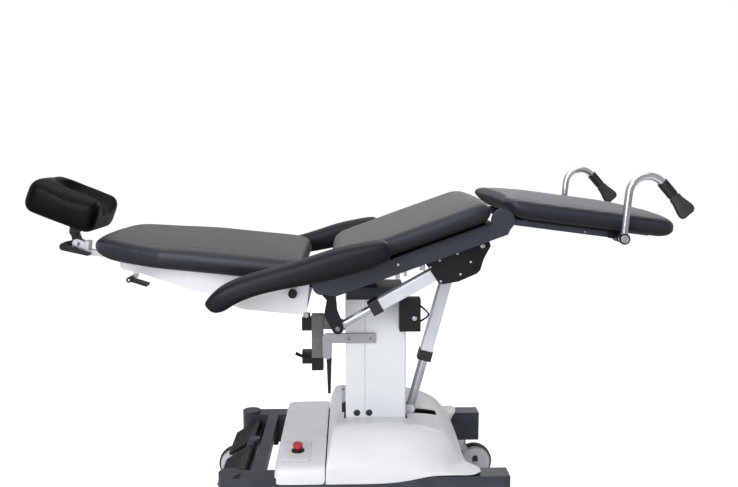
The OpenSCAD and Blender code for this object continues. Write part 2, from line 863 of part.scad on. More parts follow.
module head_cover() {
  x1 = cover_head_x - face_gap;
  x0 = x1 - head_cover_l;
  color(white_colour) difference() {
    union() {
      difference() {
        translate([(x0 + x1) / 2, 0, cover_low]) linear_extrude(deck_z - cover_low)
          round_rect(head_cover_l, cover_w, cover_round);
        translate([(x0 + x1) / 2, 0, cover_low - over]) linear_extrude(deck_z - cover_low - cover_wall + over)
          round_rect(head_cover_l - 2 * cover_wall, cover_w - 2 * cover_wall, cover_round - cover_wall);
      }
      both_sides() for (x = [x0 + rib_l, x1 - rib_l])
        box([x, rail_y - rib_l / 2, rail_top + face_gap], [x + cover_wall, rail_y + rib_l / 2, deck_z - over]);
      translate([column_x - button_back, button_y, deck_z - over])
        cylinder(d = button_collar_d, h = button_collar_h + over);
    }
    translate([column_x - button_back, button_y, cover_low])
      cylinder(d = button_stem_d + 2 * fit, h = ridge_z - cover_low);
    both_sides() box([rail_head_x, rail_in - face_gap, rail_low],
      [rail_foot_x, rail_y + post_r + face_gap, rail_top + face_gap]);
  }
}

module stop_button() {
  z = deck_z + button_collar_h + button_travel + over;
  color(red_colour) translate([column_x - button_back, button_y, 0]) {
    translate([0, 0, deck_z - 3 * cover_wall]) cylinder(d = button_stem_d, h = z + over - deck_z + 3 * cover_wall);
    translate([0, 0, z]) rotate_extrude() polygon([[0, 0], [button_d / 2 - over, 0], [button_d / 2, over],
      [button_d / 2, button_head_h], [0.8 * button_d / 2, button_head_h + 0.6 * button_dome_h],
      [0.45 * button_d / 2, button_head_h + 0.92 * button_dome_h], [0, button_head_h + button_dome_h]]);
  }
}

// Fixed inner mast with the lift cylinder inside
module inner_mast() {
  color("#b8bcc2") translate([column_x, 0, base_plate_top]) {
    linear_extrude(mast_top - base_plate_top) difference() {
      round_rect(mast_l, mast_w, mast_wall);
      square([mast_l - 2 * mast_wall, mast_w - 2 * mast_wall], center = true);
    }
    linear_extrude(mast_wall) square([mast_l - mast_wall, mast_w - mast_wall], center = true);
    difference() {
      cylinder(d = lift_tube_d, h = mast_top - base_plate_top - 2 * mast_wall);
      translate([0, 0, over]) cylinder(r = lift_rod_d / 2 + fit, h = mast_top);
    }
  }
}

// Outline of the pedal housing, drawn smaller by its wall for the inside
module pedal_box_side(inset) {
  x1 = pedal_box_x + pedal_box_l;
  offset(delta = -inset) polygon([[pedal_box_x, rail_low - inset], [x1, rail_low - inset],
    [x1, rail_low + pedal_box_h], [pedal_axis_x - pedal_eye_r, rail_low + pedal_box_h],
    [pedal_box_x, rail_low + pedal_box_low]]);
}

// Pedal housing between the rails at the head end
module pedal_housing() {
  x1 = pedal_box_x + pedal_box_l;
  arm_x = cross_bar_x + cross_bar / 2;
  color(black_colour) {
    difference() {
      slab(-pedal_box_w / 2, pedal_box_w / 2) pedal_box_side(0);
      slab(-pedal_box_w / 2 + pedal_ear_t, pedal_box_w / 2 - pedal_ear_t) pedal_box_side(pedal_ear_t);
      box([pedal_box_x - over, -pedal_box_w / 2 - over, rail_low - 2 * pedal_ear_t],
        [x1 + over, pedal_box_w / 2 + over, rail_low]);
    }
    both_sides() box([x1 - over, rail_in - rib_l, rail_low], [arm_x, rail_in - face_gap, rail_top - cross_bar]);
    for (y = pedal_ear_y) {
      box([pedal_axis_x - pedal_eye_r, y - pedal_ear_t / 2, rail_low + pedal_box_h - pedal_ear_t / 2],
        [pedal_axis_x + pedal_eye_r, y + pedal_ear_t / 2, pedal_axis_z]);
      rod_y(pedal_axis_x, pedal_axis_z, pedal_eye_r, y - pedal_ear_t / 2, y + pedal_ear_t / 2);
    }
    rod_y(pedal_axis_x, pedal_axis_z, pedal_axis_d / 2, pedal_ear_y[0], pedal_ear_y[3]);
  }
}

// Ribbed plate that slopes down from the pedals' axis
module pedal_plate() {
  rotate([0, pedal_slope, 0]) {
    box([-pedal_l, -pedal_w / 2, pedal_eye_r - pedal_t], [0, pedal_w / 2, pedal_eye_r]);
    for (k = [1 : pedal_ribs]) translate([-k * pedal_l / (pedal_ribs + 1), 0, pedal_eye_r])
      cube([pedal_rib_h, pedal_w - 2 * pedal_t, 2 * pedal_rib_h], center = true);
  }
}

module foot_pedal(side) {
  color(black_colour) translate([pedal_axis_x, side * pedal_mid_y, pedal_axis_z]) difference() {
    union() {
      pedal_plate();
      rod_y(0, 0, pedal_eye_r, -pedal_w / 2, pedal_w / 2);
    }
    rod_y(0, 0, pedal_axis_d / 2 + fit, -pedal_w / 2 - over, pedal_w / 2 + over);
  }
}

// Small round pedal on an arm between the two foot pedals
module brake_pedal() {
  color("#4a4458") translate([pedal_axis_x, 0, pedal_axis_z]) difference() {
    union() {
      rod_y(0, 0, pedal_eye_r, -brake_arm_w / 2, brake_arm_w / 2);
      box([0, -brake_arm_w / 2, 0], [brake_reach, brake_arm_w / 2, pedal_eye_r + 3 * over]);
      translate([brake_reach, brake_off, pedal_eye_r + over]) cylinder(d = brake_pad_d, h = brake_pad_t);
    }
    rod_y(0, 0, pedal_axis_d / 2 + fit, -brake_arm_w, brake_arm_w);
  }
}

// Outer column: a box tube with a top plate, a panel seam and inner guides
module column_shell() {
  lx = column_l / 2;
  ly = column_w / 2;
  color(white_colour) {
    translate([column_x, 0, column_low]) difference() {
      linear_extrude(column_top - column_low) round_rect(column_l, column_w, column_wall);
      translate([0, 0, -over]) linear_extrude(column_top - column_low - column_plate_t + over)
        square([column_l - 2 * column_wall, column_w - 2 * column_wall], center = true);
      for (y = [-ly, ly]) translate([-seam_back, y, (column_top - column_low) / 2])
        cube([seam_w, 2 * seam_deep, column_top - column_low + 2 * over], center = true);
    }
    for (x = [-mast_l / 4, mast_l / 4], side = [-1, 1]) translate([column_x, 0, column_low + mast_wall])
      box([x - guide_w / 2, side > 0 ? mast_w / 2 + face_gap : -ly + column_wall - over, 0],
        [x + guide_w / 2, side > 0 ? ly - column_wall + over : -mast_w / 2 - face_gap, guide_l]);
    for (y = [-mast_w / 4, mast_w / 4], side = [-1, 1]) translate([column_x, 0, column_low + mast_wall])
      box([side > 0 ? mast_l / 2 + face_gap : -lx + column_wall - over, y - guide_w / 2, 0],
        [side > 0 ? lx - column_wall + over : -mast_l / 2 - face_gap, y + guide_w / 2, guide_l]);
    foot_ears();
  }
}

// Ears on the column's foot-end side that carry the tilt actuator's foot
module foot_ears() {
  difference() {
    both_sides() slab(foot_ear_in, foot_ear_in + foot_ear_t) {
      link([tilt_foot_x, tilt_foot_z, eye_r], [column_x + column_l / 2, tilt_foot_z, eye_r]);
    }
    box([column_x - over, -column_w, column_low - eye_r], [column_x + column_l / 2 - column_wall, column_w, column_top]);
  }
  rod_y(tilt_foot_x, tilt_foot_z, act_pin_d / 2, -foot_ear_in - foot_ear_t, foot_ear_in + foot_ear_t);
}

module lift_rod() {
  color(steel_colour) translate([column_x, 0, lift_rod_low])
    cylinder(d = lift_rod_d, h = column_top - column_plate_t - lift_rod_low);
}

// Yoke on the column's top with a black cover and two ears for the tilt pin
module top_yoke() {
  color(frame_colour) {
    translate([column_x, 0, column_top]) linear_extrude(yoke_plate_t) round_rect(yoke_l, yoke_w, ear_t);
    box([column_x - yoke_box_back, -yoke_box_w / 2, column_top + face_gap],
      [column_x + yoke_box_front, yoke_box_w / 2, column_top + yoke_box_h]);
    difference() {
      both_sides() slab(ear_out - ear_t, ear_out) {
        link([tilt_x, tilt_z, ear_r], [column_x - yoke_l / 2 + ear_r, column_top + ear_r, ear_r]);
        link([tilt_x, tilt_z, ear_r], [column_x - yoke_l / 2 + ear_r + ear_foot, column_top + ear_r, ear_r]);
        translate([column_x - yoke_l / 2, column_top]) square([2 * ear_r + ear_foot, ear_r]);
      }
      rod_y(tilt_x, tilt_z, tilt_pin_d / 2 + fit, -ear_out - over, ear_out + over);
    }
  }
}

module motor_box() {
  z1 = column_top + motor_up;
  x0 = column_x + motor_x;
  y1 = -column_w / 2 - face_gap;
  color(black_colour) {
    difference() {
      box([x0, y1 - motor_w, z1 - motor_h], [x0 + motor_l, y1, z1]);
      box([x0 - over, y1 - motor_w - over, z1 - motor_h / 4], [x0 + motor_l / 4, y1 - motor_w + over, z1 + over]);
    }
    rod_y(x0 + 0.7 * motor_l, z1 - 0.58 * motor_h, motor_l / 8, y1 - motor_w - 2 * over, y1 - motor_w + over);
  }
}

// Grey L-shaped bracket screwed to the column's near face
module column_bracket() {
  z1 = column_top - l_top;
  x0 = column_x - l_out;
  y1 = -column_w / 2 - face_gap;
  color(bracket_colour) difference() {
    slab(y1 - l_bar_t, y1) difference() {
      union() {
        translate([x0 + l_bar / 2, z1 - l_bar + link_lap]) square([l_bar / 2 + l_arm_l, l_bar - 2 * link_lap]);
        link([x0 + l_bar / 2, z1 - l_bar / 2, l_bar / 2], [x0 + l_bar / 2, z1 - l_drop + l_bar / 4, l_bar / 2 - over]);
      }
      for (k = [0, 1]) translate([column_x - l_hole_out + k * l_hole_pitch, z1 - l_bar / 2]) circle(d = l_hole_d);
    }
  }
}

// Black guide blade that hangs beside the column and passes into the base
module cable_guide() {
  z1 = column_top - guide_top;
  z2 = z1 - guide_drop;
  color(black_colour) {
    slab(guide_y - guide_t / 2, guide_y + guide_t / 2) polygon([[guide_x - guide_wide / 2, z1], [guide_x + guide_wide / 2, z1],
      [guide_x + guide_tip / 2, z2], [guide_x - guide_tip / 2, z2]]);
    box([guide_x - guide_wide / 2, -column_w / 2 - face_gap + face_gap / 2, z1 - guide_wide], [guide_x + guide_wide / 2, guide_y, z1 + guide_wide]);
  }
}

// Bronze-grey square tube hung behind the column
module accessory_tube() {
  x0 = column_x - tube_back;
  z1 = column_top - tube_top;
  z0 = z1 - tube_l;
  color(bronze_colour) {
    difference() {
      box([x0, tube_y - tube_side / 2, z0], [x0 + tube_side, tube_y + tube_side / 2, z1]);
      box([x0 + tube_wall, tube_y - tube_side / 2 + tube_wall, z0 - over],
        [x0 + tube_side - tube_wall, tube_y + tube_side / 2 - tube_wall, z1 - tube_wall]);
    }
    slab(tube_y - tube_arm_t / 2, tube_y + tube_arm_t / 2) polygon([[x0 + tube_side - over, z1],
      [shell_x0 - face_gap, z1 - tube_arm_h / 2], [shell_x0 - face_gap, z1 - tube_arm_h - tube_wall],
      [x0 + tube_side - over, z1 - tube_arm_h]]);
  }
}

// Black clamps and end block on that tube
module tube_clamps() {
  x0 = column_x - tube_back;
  z1 = column_top - clamp_top;
  z2 = column_top - low_clamp_top;
  z3 = column_top - tube_top - tube_l;
  color(black_colour) difference() {
    union() {
      box([x0 - clamp_deep, tube_y - tube_side / 2, z1 - clamp_h], [x0 - face_gap, tube_y + tube_side / 2, z1]);
      box([x0 - clamp_deep, tube_y - tube_side / 2, z2 - clamp_h], [x0 - face_gap, tube_y + tube_side / 2, z2]);
      box([x0, tube_y - tube_side / 2, z3 - tube_block_l], [x0 + tube_side, tube_y + tube_side / 2, z3 - face_gap]);
      box([x0 - 2 * face_gap, tube_y - tube_side / 2, z3 - tube_block_l], [x0 + tube_wall, tube_y + tube_side / 2, z3 - face_gap]);
    }
    translate([x0 - clamp_deep / 2, tube_y, z1 - clamp_h / 2]) cylinder(r = knob_stem_d / 2 + fit, h = clamp_h);
    rod_y(x0 - clamp_deep / 2, z2 - clamp_h / 2, knob_stem_d / 2 + fit, tube_y - tube_side, tube_y);
  }
}

module clamp_knob() {
  x0 = column_x - tube_back;
  z1 = column_top - clamp_top;
  color(steel_colour) translate([x0 - clamp_deep / 2, tube_y, z1]) {
    translate([0, 0, -clamp_h / 2 + over]) cylinder(d = knob_stem_d, h = clamp_h / 2);
    translate([0, 0, face_gap]) cylinder(d = knob_d, h = knob_h);
  }
}

module clamp_handle() {
  x = column_x - tube_back - clamp_deep / 2;
  z = column_top - low_clamp_top - clamp_h / 2;
  y = tube_y - tube_side / 2 - face_gap;
  color(black_colour) {
    rod_y(x, z, knob_stem_d / 2, y - handle_d, tube_y - over);
    rod_y(x, z, handle_d / 2 + over, y - handle_d, y);
    translate([x, y - handle_d / 2, z]) rotate([0, -handle_lean, 0]) cylinder(d1 = handle_d - 2 * over, d2 = handle_d, h = handle_l);
  }
}

// Long side plates with the hinge pins of the back and the leg section
module side_plates() {
  y0 = plate_in;
  y1 = plates_w / 2;
  color(frame_colour) on_seat() both_sides() {
    slab(y0, y1) {
      circle(r = plate_rear_r);
      translate([seat_l, 0]) circle(r = plate_front_r);
      polygon([[0, plate_high], [seat_l, plate_high], [seat_l + plate_front_r / 2, -0.8 * plate_front_r],
        [seat_l, -plate_low], [plate_rear_r, -plate_low], [0, -plate_rear_r]]);
    }
    rod_y(0, 0, hinge_pin_d / 2, y0 - pin_deep, y0 + over);
    rod_y(seat_l, 0, hinge_pin_d / 2, y0 - face_gap - leg_rail_t, y0 + over);
  }
}

// Seat frame: pan, cross tubes, lugs on the tilt pin and the tilt actuator's clevis
module seat_frame() {
  y1 = plate_in;
  color("#4b4f58") on_seat() {
    box([pan_back, -pan_w / 2, cushion_low - face_gap - pan_t], [seat_l - pan_front, pan_w / 2, cushion_low - face_gap]);
    for (s = tube_shares) translate([s * seat_l, 0, 0]) box([-cross_tube / 2, -y1, -cross_tube + pan_t],
      [cross_tube / 2, y1, cushion_low - face_gap - over]);
    difference() {
      both_sides() slab(lug_in, lug_out) {
        link([tilt_u, tilt_w, lug_r], [tilt_u + lug_l, -cross_tube / 2, cross_tube / 2]);
        link([tilt_u, tilt_w, lug_r], [tilt_u - lug_l / 2, -cross_tube / 2, cross_tube / 2]);
      }
      rod_y(tilt_u, tilt_w, tilt_pin_d / 2, -lug_in - over, lug_in + over);
    }
    rod_y(tilt_u, tilt_w, tilt_pin_d / 2, -lug_out + over, lug_out - over);
    difference() {
      both_sides() slab(clevis_in, clevis_in + clevis_t) {
        link([tilt_top_u, tilt_top_w, clevis_r], [tilt_top_u - clevis_l / 2, pan_t / 2, pan_t]);
        link([tilt_top_u, tilt_top_w, clevis_r], [tilt_top_u + clevis_l, pan_t / 2, pan_t]);
      }
      rod_y(tilt_top_u, tilt_top_w, act_pin_d / 2, -clevis_in - over, clevis_in + over);
    }
    both_sides() rod_y(tilt_top_u, tilt_top_w, act_pin_d / 2, clevis_in, clevis_in + clevis_t + 2 * over);
  }
}

// Two black plates with studs that carry the back actuator's motor end
module gearbox_plates() {
  color(black_colour) on_seat() translate([0, -lever_y, 0]) {
    for (side = [-1, 1]) slab(side > 0 ? box_in : -box_in - box_t, side > 0 ? box_in + box_t : -box_in) polygon(gear_outline);
    box([gear_u, -box_in - over, -plate_low + over], [gear_foot_u, box_in + over, -plate_low + over + box_t]);
    rod_y(act_u, act_w, act_pin_d / 2, -box_in - box_t - 3 * over, box_in + box_t);
    rod_y(gear_foot_u - stud_d, gear_outline[8][1] + stud_d, stud_d / 2, -box_in - over, box_in + over);
    for (p = gear_screws) rod_y(p[0], p[1], stud_d / 3, -box_in - box_t - 2 * over, -box_in - over);
    box([tube_shares[1] * seat_l, -box_in, -plate_low + over], [gear_u + over, box_in, -cross_tube + pan_t]);
    box([gear_foot_u - stud_d, -box_in, -plate_low + over], [gear_foot_u, box_in, -cross_tube + pan_t]);
  }
}

module seat_cushion() {
  st = stations(seat_from, seat_l - seat_short, cushion_w / 2, seat_width_shares, cushion_low, 0, even_shares,
    cushion_low + seat_cushion_t, even_shares, seat_plan_r, seat_edge_r);
  color(cushion_colour) on_seat() loft([for (s = st) ring(s, cushion_w / 2, crown, edge_power)]);
}

// An actuator's outer tube with its collar, along X from its far pivot
module outer_body(from, to, rod_d) {
  difference() {
    union() {
      translate([from, 0, 0]) rotate([90, 0, 90]) linear_extrude(to - from) round_rect(outer_tube, outer_tube, 6 * over);
      translate([to, 0, 0]) rotate([90, 0, 90]) linear_extrude(collar_l) round_rect(collar, collar, 5 * over);
    }
    translate([from + outer_tube / 4, 0, 0]) rotate([0, 90, 0]) cylinder(r = rod_d / 2 + fit, h = to - from + collar_l);
  }
}

module back_actuator_tube() {
  color(tube_colour) translate([act_x, -lever_y, act_z]) rotate([0, -act_lean, 0]) difference() {
    union() {
      outer_body(eye_r, act_collar_at, back_rod_d);
      rod_y(0, 0, eye_r, -outer_tube / 2, outer_tube / 2);
      box([0, -outer_tube / 2, -eye_r], [2 * eye_r, outer_tube / 2, eye_r]);
    }
    rod_y(0, 0, act_pin_d / 2 + fit, -outer_tube, outer_tube);
    box([-eye_r - over, -outer_tube, eye_r - over / 2], [eye_r, outer_tube, outer_tube]);
  }
}

module back_actuator_rod() {
  color(steel_colour) translate([act_x, -lever_y, act_z]) rotate([0, -act_lean, 0]) difference() {
    union() {
      translate([act_rod_from, 0, 0]) rotate([0, 90, 0]) cylinder(d = back_rod_d, h = act_run - eye_r / 2 - act_rod_from);
      intersection() {
        rod_y(act_run, 0, eye_r, -act_eye_t / 2, act_eye_t / 2);
        box([0, -act_eye_t / 2, -eye_r], [act_run + eye_r, act_eye_t / 2, eye_r]);
      }
    }
    both_sides() box([act_run - act_flat_l, act_eye_t / 2, -eye_r], [act_run + eye_r, outer_tube, eye_r]);
    rod_y(act_run, 0, act_pin_d / 2 + fit, -outer_tube, outer_tube);
  }
}

module tilt_actuator_rod() {
  color(steel_colour) translate([tilt_foot_x, 0, tilt_foot_z]) rotate([0, -tilt_lean, 0]) difference() {
    union() {
      translate([eye_r / 2, 0, 0]) rotate([0, 90, 0]) cylinder(d = tilt_rod_d, h = tilt_rod_l - eye_r / 2);
      rod_y(0, 0, eye_r, -eye_t / 2, eye_t / 2);
    }
    box([-eye_r, eye_t / 2, -eye_r], [3 * eye_r / 2, outer_tube, eye_r]);
    box([-eye_r, -outer_tube, -eye_r], [3 * eye_r / 2, -eye_t / 2, eye_r]);
    rod_y(0, 0, act_pin_d / 2 + fit, -outer_tube, outer_tube);
  }
}

module tilt_actuator_tube() {
  to = tilt_run - 2 * eye_r;
  color(tube_colour) translate([tilt_foot_x, 0, tilt_foot_z]) rotate([0, -tilt_lean, 0]) difference() {
    union() {
      translate([tilt_collar_at, 0, 0]) rotate([90, 0, 90]) linear_extrude(collar_l) round_rect(collar, collar, 5 * over);
      translate([tilt_collar_at + collar_l, 0, 0]) rotate([90, 0, 90]) linear_extrude(to - tilt_collar_at - collar_l + 2 * eye_r - over)
        round_rect(outer_tube, outer_tube, 6 * over);
      rod_y(tilt_run, 0, eye_r, -outer_tube / 2, outer_tube / 2);
    }
    translate([tilt_collar_at - over, 0, 0]) rotate([0, 90, 0]) cylinder(r = tilt_rod_d / 2 + fit, h = to - tilt_collar_at + over);
    rod_y(tilt_run, 0, act_pin_d / 2 + fit, -outer_tube, outer_tube);
  }
}

// White back shell
module shell_form(inset) {
  side = [for (s = shell_side_shares) [-shell_start - s[0] * (shell_l - shell_start), -s[1] * shell_deep]];
  near = [for (s = shell_plan_shares) [-shell_start - s[0] * (shell_l - shell_start), -s[1] * shell_w / 2]];
  far = [for (s = flip(shell_plan_shares)) [-shell_start - s[0] * (shell_l - shell_start), s[1] * shell_w / 2]];
  intersection() {
    slab(-shell_w / 2, shell_w / 2) offset(delta = -inset)
      polygon(concat([[-shell_start, 2 * shell_wall]], side, [[-shell_l, 2 * shell_wall]]));
    translate([0, 0, -shell_deep - over]) linear_extrude(shell_deep + over + inset / 2) offset(delta = -inset)
      polygon(concat(near, far));
  }
}

module back_shell() {
  ear_y = release_y + release_wide / 2 + face_gap;
  color(white_colour) on_back() {
    slab(release_ear_y - release_t, release_ear_y) link([-release_v, release_w, release_t],
      [-release_v, release_w + 2 * release_t, release_t]);
    rod_y(-release_v, release_w, release_pin_d / 2, release_y - release_wide / 2 - over, release_ear_y);
    rod_y(-release_v, release_w, release_t, ear_y, release_ear_y);
  }
  color(white_colour) on_back() difference() {
    shell_form(0);
    shell_form(shell_wall);
    box([-shell_l - over, -head_bar_w / 2 - 3 * face_gap - socket_wall, -bar_top - head_bar_t - socket_wall - 2 * face_gap],
      [-shell_l / 2, head_bar_w / 2 + 3 * face_gap + socket_wall, over]);
    box([-shell_start - 4 * shell_wall, -shell_w / 2 - over, -shell_deep + 3 * shell_wall], [over, shell_w / 2 + over, over]);
    rod_y(-spindle_v, spindle_w, spindle_r + face_gap, -shell_w, shell_w);
    box([-lever_pin_x, -lever_y - lever_in - lever_t - swing_gap, -shell_deep - over],
      [over, -lever_y + lever_in + lever_t + swing_gap, over]);
    rod_y(-back_knob_v, back_knob_w, knob_stem_d / 2 + fit, -shell_w, 0);
  }
}

// Steel back frame: hinge tube, two bars, rung, socket for the head bar, levers and spindles
module back_frame() {
  tube_end = plate_in - face_gap;
  color("#4b4f58") {
    on_back() {
      difference() {
        union() {
          rod_y(0, 0, hinge_tube_r, -tube_end, tube_end);
          both_sides() box([-arm_bar_l, arm_bar_y - arm_bar / 2, -arm_bar - bar_top],
            [0, arm_bar_y + arm_bar / 2, -bar_top]);
        }
        both_sides() rod_y(0, 0, hinge_pin_d / 2 + fit, tube_end - pin_deep, tube_end + over);
      }
      box([-rung_from - spindle_d, -arm_bar_y, spindle_w - spindle_r], [-rung_from + spindle_d / 2, arm_bar_y, -arm_bar]);
      rod_y(-spindle_v, spindle_w, spindle_r, -arm_in - arm_bore + over, arm_in + arm_bore - over);
      difference() {
        box([-socket_from - socket_l, -head_bar_w / 2 - face_gap - socket_wall, -bar_top - head_bar_t - socket_wall - face_gap],
          [-socket_from, head_bar_w / 2 + face_gap + socket_wall, -bar_top + 2 * face_gap]);
        box([-socket_from - socket_l - over, -head_bar_w / 2 - face_gap, -bar_top - head_bar_t - face_gap],
          [-socket_from - socket_wall, head_bar_w / 2 + face_gap, -bar_top + face_gap]);
      }
      box([-socket_from - arm_bar / 2, -arm_bar_y - arm_bar / 2, -arm_bar - bar_top],
        [-socket_from + arm_bar, arm_bar_y + arm_bar / 2, -bar_top]);
      box([-back_knob_v - arm_bar / 2, -arm_bar_y - 2 * arm_bar, back_knob_w - arm_bar / 2],
        [-back_knob_v + arm_bar / 2, -arm_bar_y + arm_bar / 2, -bar_top]);
    }
    translate([hinge_x, -lever_y, hinge_z]) {
      difference() {
        for (side = [-1, 1]) slab(side > 0 ? lever_in : -lever_in - lever_t, side > 0 ? lever_in + lever_t : -lever_in)
          for (k = [0 : 2]) link(lever_points[k], lever_points[k + 1]);
        rod_y(lever_pin_x, lever_pin_z, act_pin_d / 2, -lever_in - over, lever_in + over);
      }
      for (side = [-1, 1]) rod_y(lever_pin_x, lever_pin_z, act_pin_d / 2,
        side > 0 ? lever_in : -lever_in - lever_t - 2 * over, side > 0 ? lever_in + lever_t + 2 * over : -lever_in);
    }
  }
}

module back_cushion() {
  st = stations(-back_start - back_cushion_l + back_over, -back_start, cushion_w / 2, back_width_shares,
    back_low, 0, even_shares, back_low + back_cushion_t, back_high_shares, back_plan_r, back_edge_r);
  color(cushion_colour) on_back() loft([for (s = st) ring(s, cushion_w / 2, crown, edge_power)]);
}

module release_lever() {
  color(black_colour) on_back() translate([-release_v, release_y, release_w]) difference() {
    union() {
      rod_y(0, 0, release_t, -release_wide / 2, release_wide / 2);
      rotate([0, release_slope, 0]) box([0, -release_wide / 2 + over, -release_t / 2],
        [release_l, release_wide / 2 - over, release_t / 2]);
    }
    rod_y(0, 0, release_pin_d / 2 + fit, -release_wide, release_wide);
  }
}

module back_knob() {
  y = -shell_w / 2 - face_gap;
  color(black_colour) on_back() {
    rod_y(-back_knob_v, back_knob_w, knob_stem_d / 2, y - over, -arm_bar_y - 2 * arm_bar - face_gap);
    rod_y(-back_knob_v, back_knob_w, back_knob_d / 2, y - back_knob_h, y);
  }
}

// Flat sliding bar with its end block and two ears
module head_bar() {
  x1 = -bar_from - head_bar_l;
  color(steel_colour) on_back() {
    box([x1, -head_bar_w / 2, -bar_top - head_bar_t], [-bar_from, head_bar_w / 2, -bar_top]);
    box([x1, -head_bar_w / 2, knuckle_w - block_h + block_l], [x1 + block_l, head_bar_w / 2, knuckle_w + block_l]);
    difference() {
      both_sides() slab(knuckle_t / 2 + face_gap, knuckle_t / 2 + face_gap + head_ear_t)
        link([knuckle_x, knuckle_w, head_ear_r], [x1 + over, knuckle_w - block_l / 2, head_ear_r - 2 * over]);
      box([x1 + block_l, -head_bar_w, -bar_top], [x1 + 3 * block_l, head_bar_w, 2 * block_h]);
    }
    rod_y(knuckle_x, knuckle_w, head_pin_d / 2, -knuckle_t / 2 - head_ear_t, knuckle_t / 2 + head_ear_t);
  }
}

module head_knuckle() {
  a = [knuckle_x, knuckle_w, head_ear_r - over];
  b = [knuckle_x - pad_pivot_v, knuckle_w + pad_pivot_w, head_ear_r - 3 * over];
  c = [knuckle_x - lever_pivot_v, knuckle_w + lever_pivot_w, head_ear_r - 2 * over];
  color(black_colour) on_back() difference() {
    union() {
      slab(-knuckle_t / 2, knuckle_t / 2) {
        link(a, b);
        link(a, c);
      }
      rod_y(c[0], c[1], pad_pin_d / 2, -lever_out - head_lever_t - 2 * over, 0);
      rod_y(c[0], c[1], pad_pin_d / 2 + 3 * over, -lever_out + face_gap, 0);
    }
    rod_y(a[0], a[1], head_pin_d / 2 + fit, -knuckle_t, knuckle_t);
    rod_y(b[0], b[1], pad_pin_d / 2 + fit, -knuckle_t, knuckle_t);
  }
}

module head_lever() {
  c = [knuckle_x - lever_pivot_v, knuckle_w + lever_pivot_w, lever_eye_r];
  color(black_colour) on_back() difference() {
    slab(-lever_out - head_lever_t, -lever_out) link(c, [c[0] + lever_reach, c[1] - lever_fall, lever_tip_r]);
    rod_y(c[0], c[1], pad_pin_d / 2 + fit, -lever_out - 2 * head_lever_t, 0);
  }
}

// The frame of the head pad, with its pivot at the origin
module on_pad() {
  on_back() translate([knuckle_x - pad_pivot_v, 0, knuckle_w + pad_pivot_w]) rotate([0, pad_angle, 0]) children();
}

module pad_bracket() {
  z1 = pad_low - face_gap;
  color("#55555a") on_pad() {
    box([-bracket_l * 0.6, -bracket_w / 2, z1 - bracket_plate_t], [bracket_l * 0.4, bracket_w / 2, z1]);
    difference() {
      both_sides() slab(knuckle_t / 2 + face_gap, knuckle_t / 2 + face_gap + head_ear_t) {
        link([0, 0, head_ear_r - 3 * over], [0, z1 - head_ear_r, head_ear_r]);
      }
      box([-bracket_l, -bracket_w, z1 - over], [bracket_l, bracket_w, z1 + bracket_l]);
    }
    rod_y(0, 0, pad_pin_d / 2, -knuckle_t / 2 - head_ear_t, knuckle_t / 2 + head_ear_t);
  }
}

module head_pad() {
  st = stations(pad_neck - pad_l, pad_neck, pad_w / 2, pad_width_shares, pad_low, 0, even_shares,
    pad_low + pad_t, even_shares, pad_plan_r, pad_edge_r);
  color(pad_colour) on_pad() difference() {
    loft([for (s = st) ring(s, pad_w / 2, 0, edge_power)]);
    translate([-hollow_back, 0, pad_low + pad_t + hollow_up]) {
      sphere(r = hollow_r);
      rotate([0, 90, 0]) cylinder(r = hollow_r, h = pad_l);
    }
  }
}

// Leg frame: rails, rungs and the sheet under the cushion
module leg_frame() {
  y1 = plate_in - face_gap;
  y0 = y1 - leg_rail_t;
  color(frame_colour) on_leg() {
    difference() {
      both_sides() slab(y0, y1) {
        circle(r = leg_lug_r);
        polygon([[0, leg_low - face_gap - pan_t], [0, -leg_rail_low], [leg_rail_l, -leg_rail_low],
          [leg_rail_l, leg_low - face_gap - pan_t]]);
      }
      rod_y(0, 0, hinge_pin_d / 2 + fit, -y1 - over, y1 + over);
    }
    for (s = rung_shares) translate([s * leg_rail_l, 0, 0])
      box([-rung_side / 2, -y0 - over, -leg_rail_low], [rung_side / 2, y0 + over, leg_low - face_gap - pan_t]);
    box([leg_pan_from, -leg_pan_w / 2, leg_low - face_gap - pan_t], [leg_pan_from + leg_pan_l, leg_pan_w / 2, leg_low - face_gap]);
  }
}

module leg_cushion() {
  st = stations(leg_start, leg_start + leg_cushion_l, cushion_w / 2, leg_width_shares,
    leg_low, leg_lift, leg_lift_shares, leg_low + leg_cushion_t, even_shares, leg_plan_r, leg_edge_r);
  color(cushion_colour) on_leg() loft([for (s = st) ring(s, cushion_w / 2, crown, edge_power)]);
}

// Clamps at the ends of the leg rails
module hook_clamps() {
  y0 = plate_in;
  color(black_colour) on_leg() both_sides() difference() {
    union() {
      rod_y(hook_u, hook_w, clamp_r, y0, y0 + clamp_l);
      box([hook_u - clamp_lug, y0, hook_w - clamp_r / 2], [hook_u, y0 + leg_rail_t, hook_w + clamp_r / 2]);
      translate([hook_u, y0 + clamp_l / 2, hook_w]) rotate([0, 90, 0]) cylinder(r = clamp_r / 2, h = clamp_r + 2 * over);
    }
    rod_y(hook_u, hook_w, hook_d / 2 - over + fit, 0, plates_w);
    translate([hook_u, y0 + clamp_l / 2, hook_w]) rotate([0, 90, 0]) cylinder(r = wing_stem_d / 2 + fit, h = 2 * clamp_r);
  }
}

module wing_screw(side) {
  x0 = hook_d / 2 + over;
  color(steel_colour) on_leg() translate([hook_u, side * (plate_in + clamp_l / 2), hook_w]) {
    translate([x0, 0, 0]) rotate([0, 90, 0]) cylinder(d = wing_stem_d, h = clamp_r + wing_reach - x0);
    translate([clamp_r + 3 * over, 0, 0]) rotate([0, 90, 0]) cylinder(d = 2 * wing_t, h = wing_t);
    translate([clamp_r + 3 * over + wing_t, 0, 0]) box([-over, -wing_t / 2, -wing_span / 2], [wing_t, wing_t / 2, wing_span / 2]);
  }
}

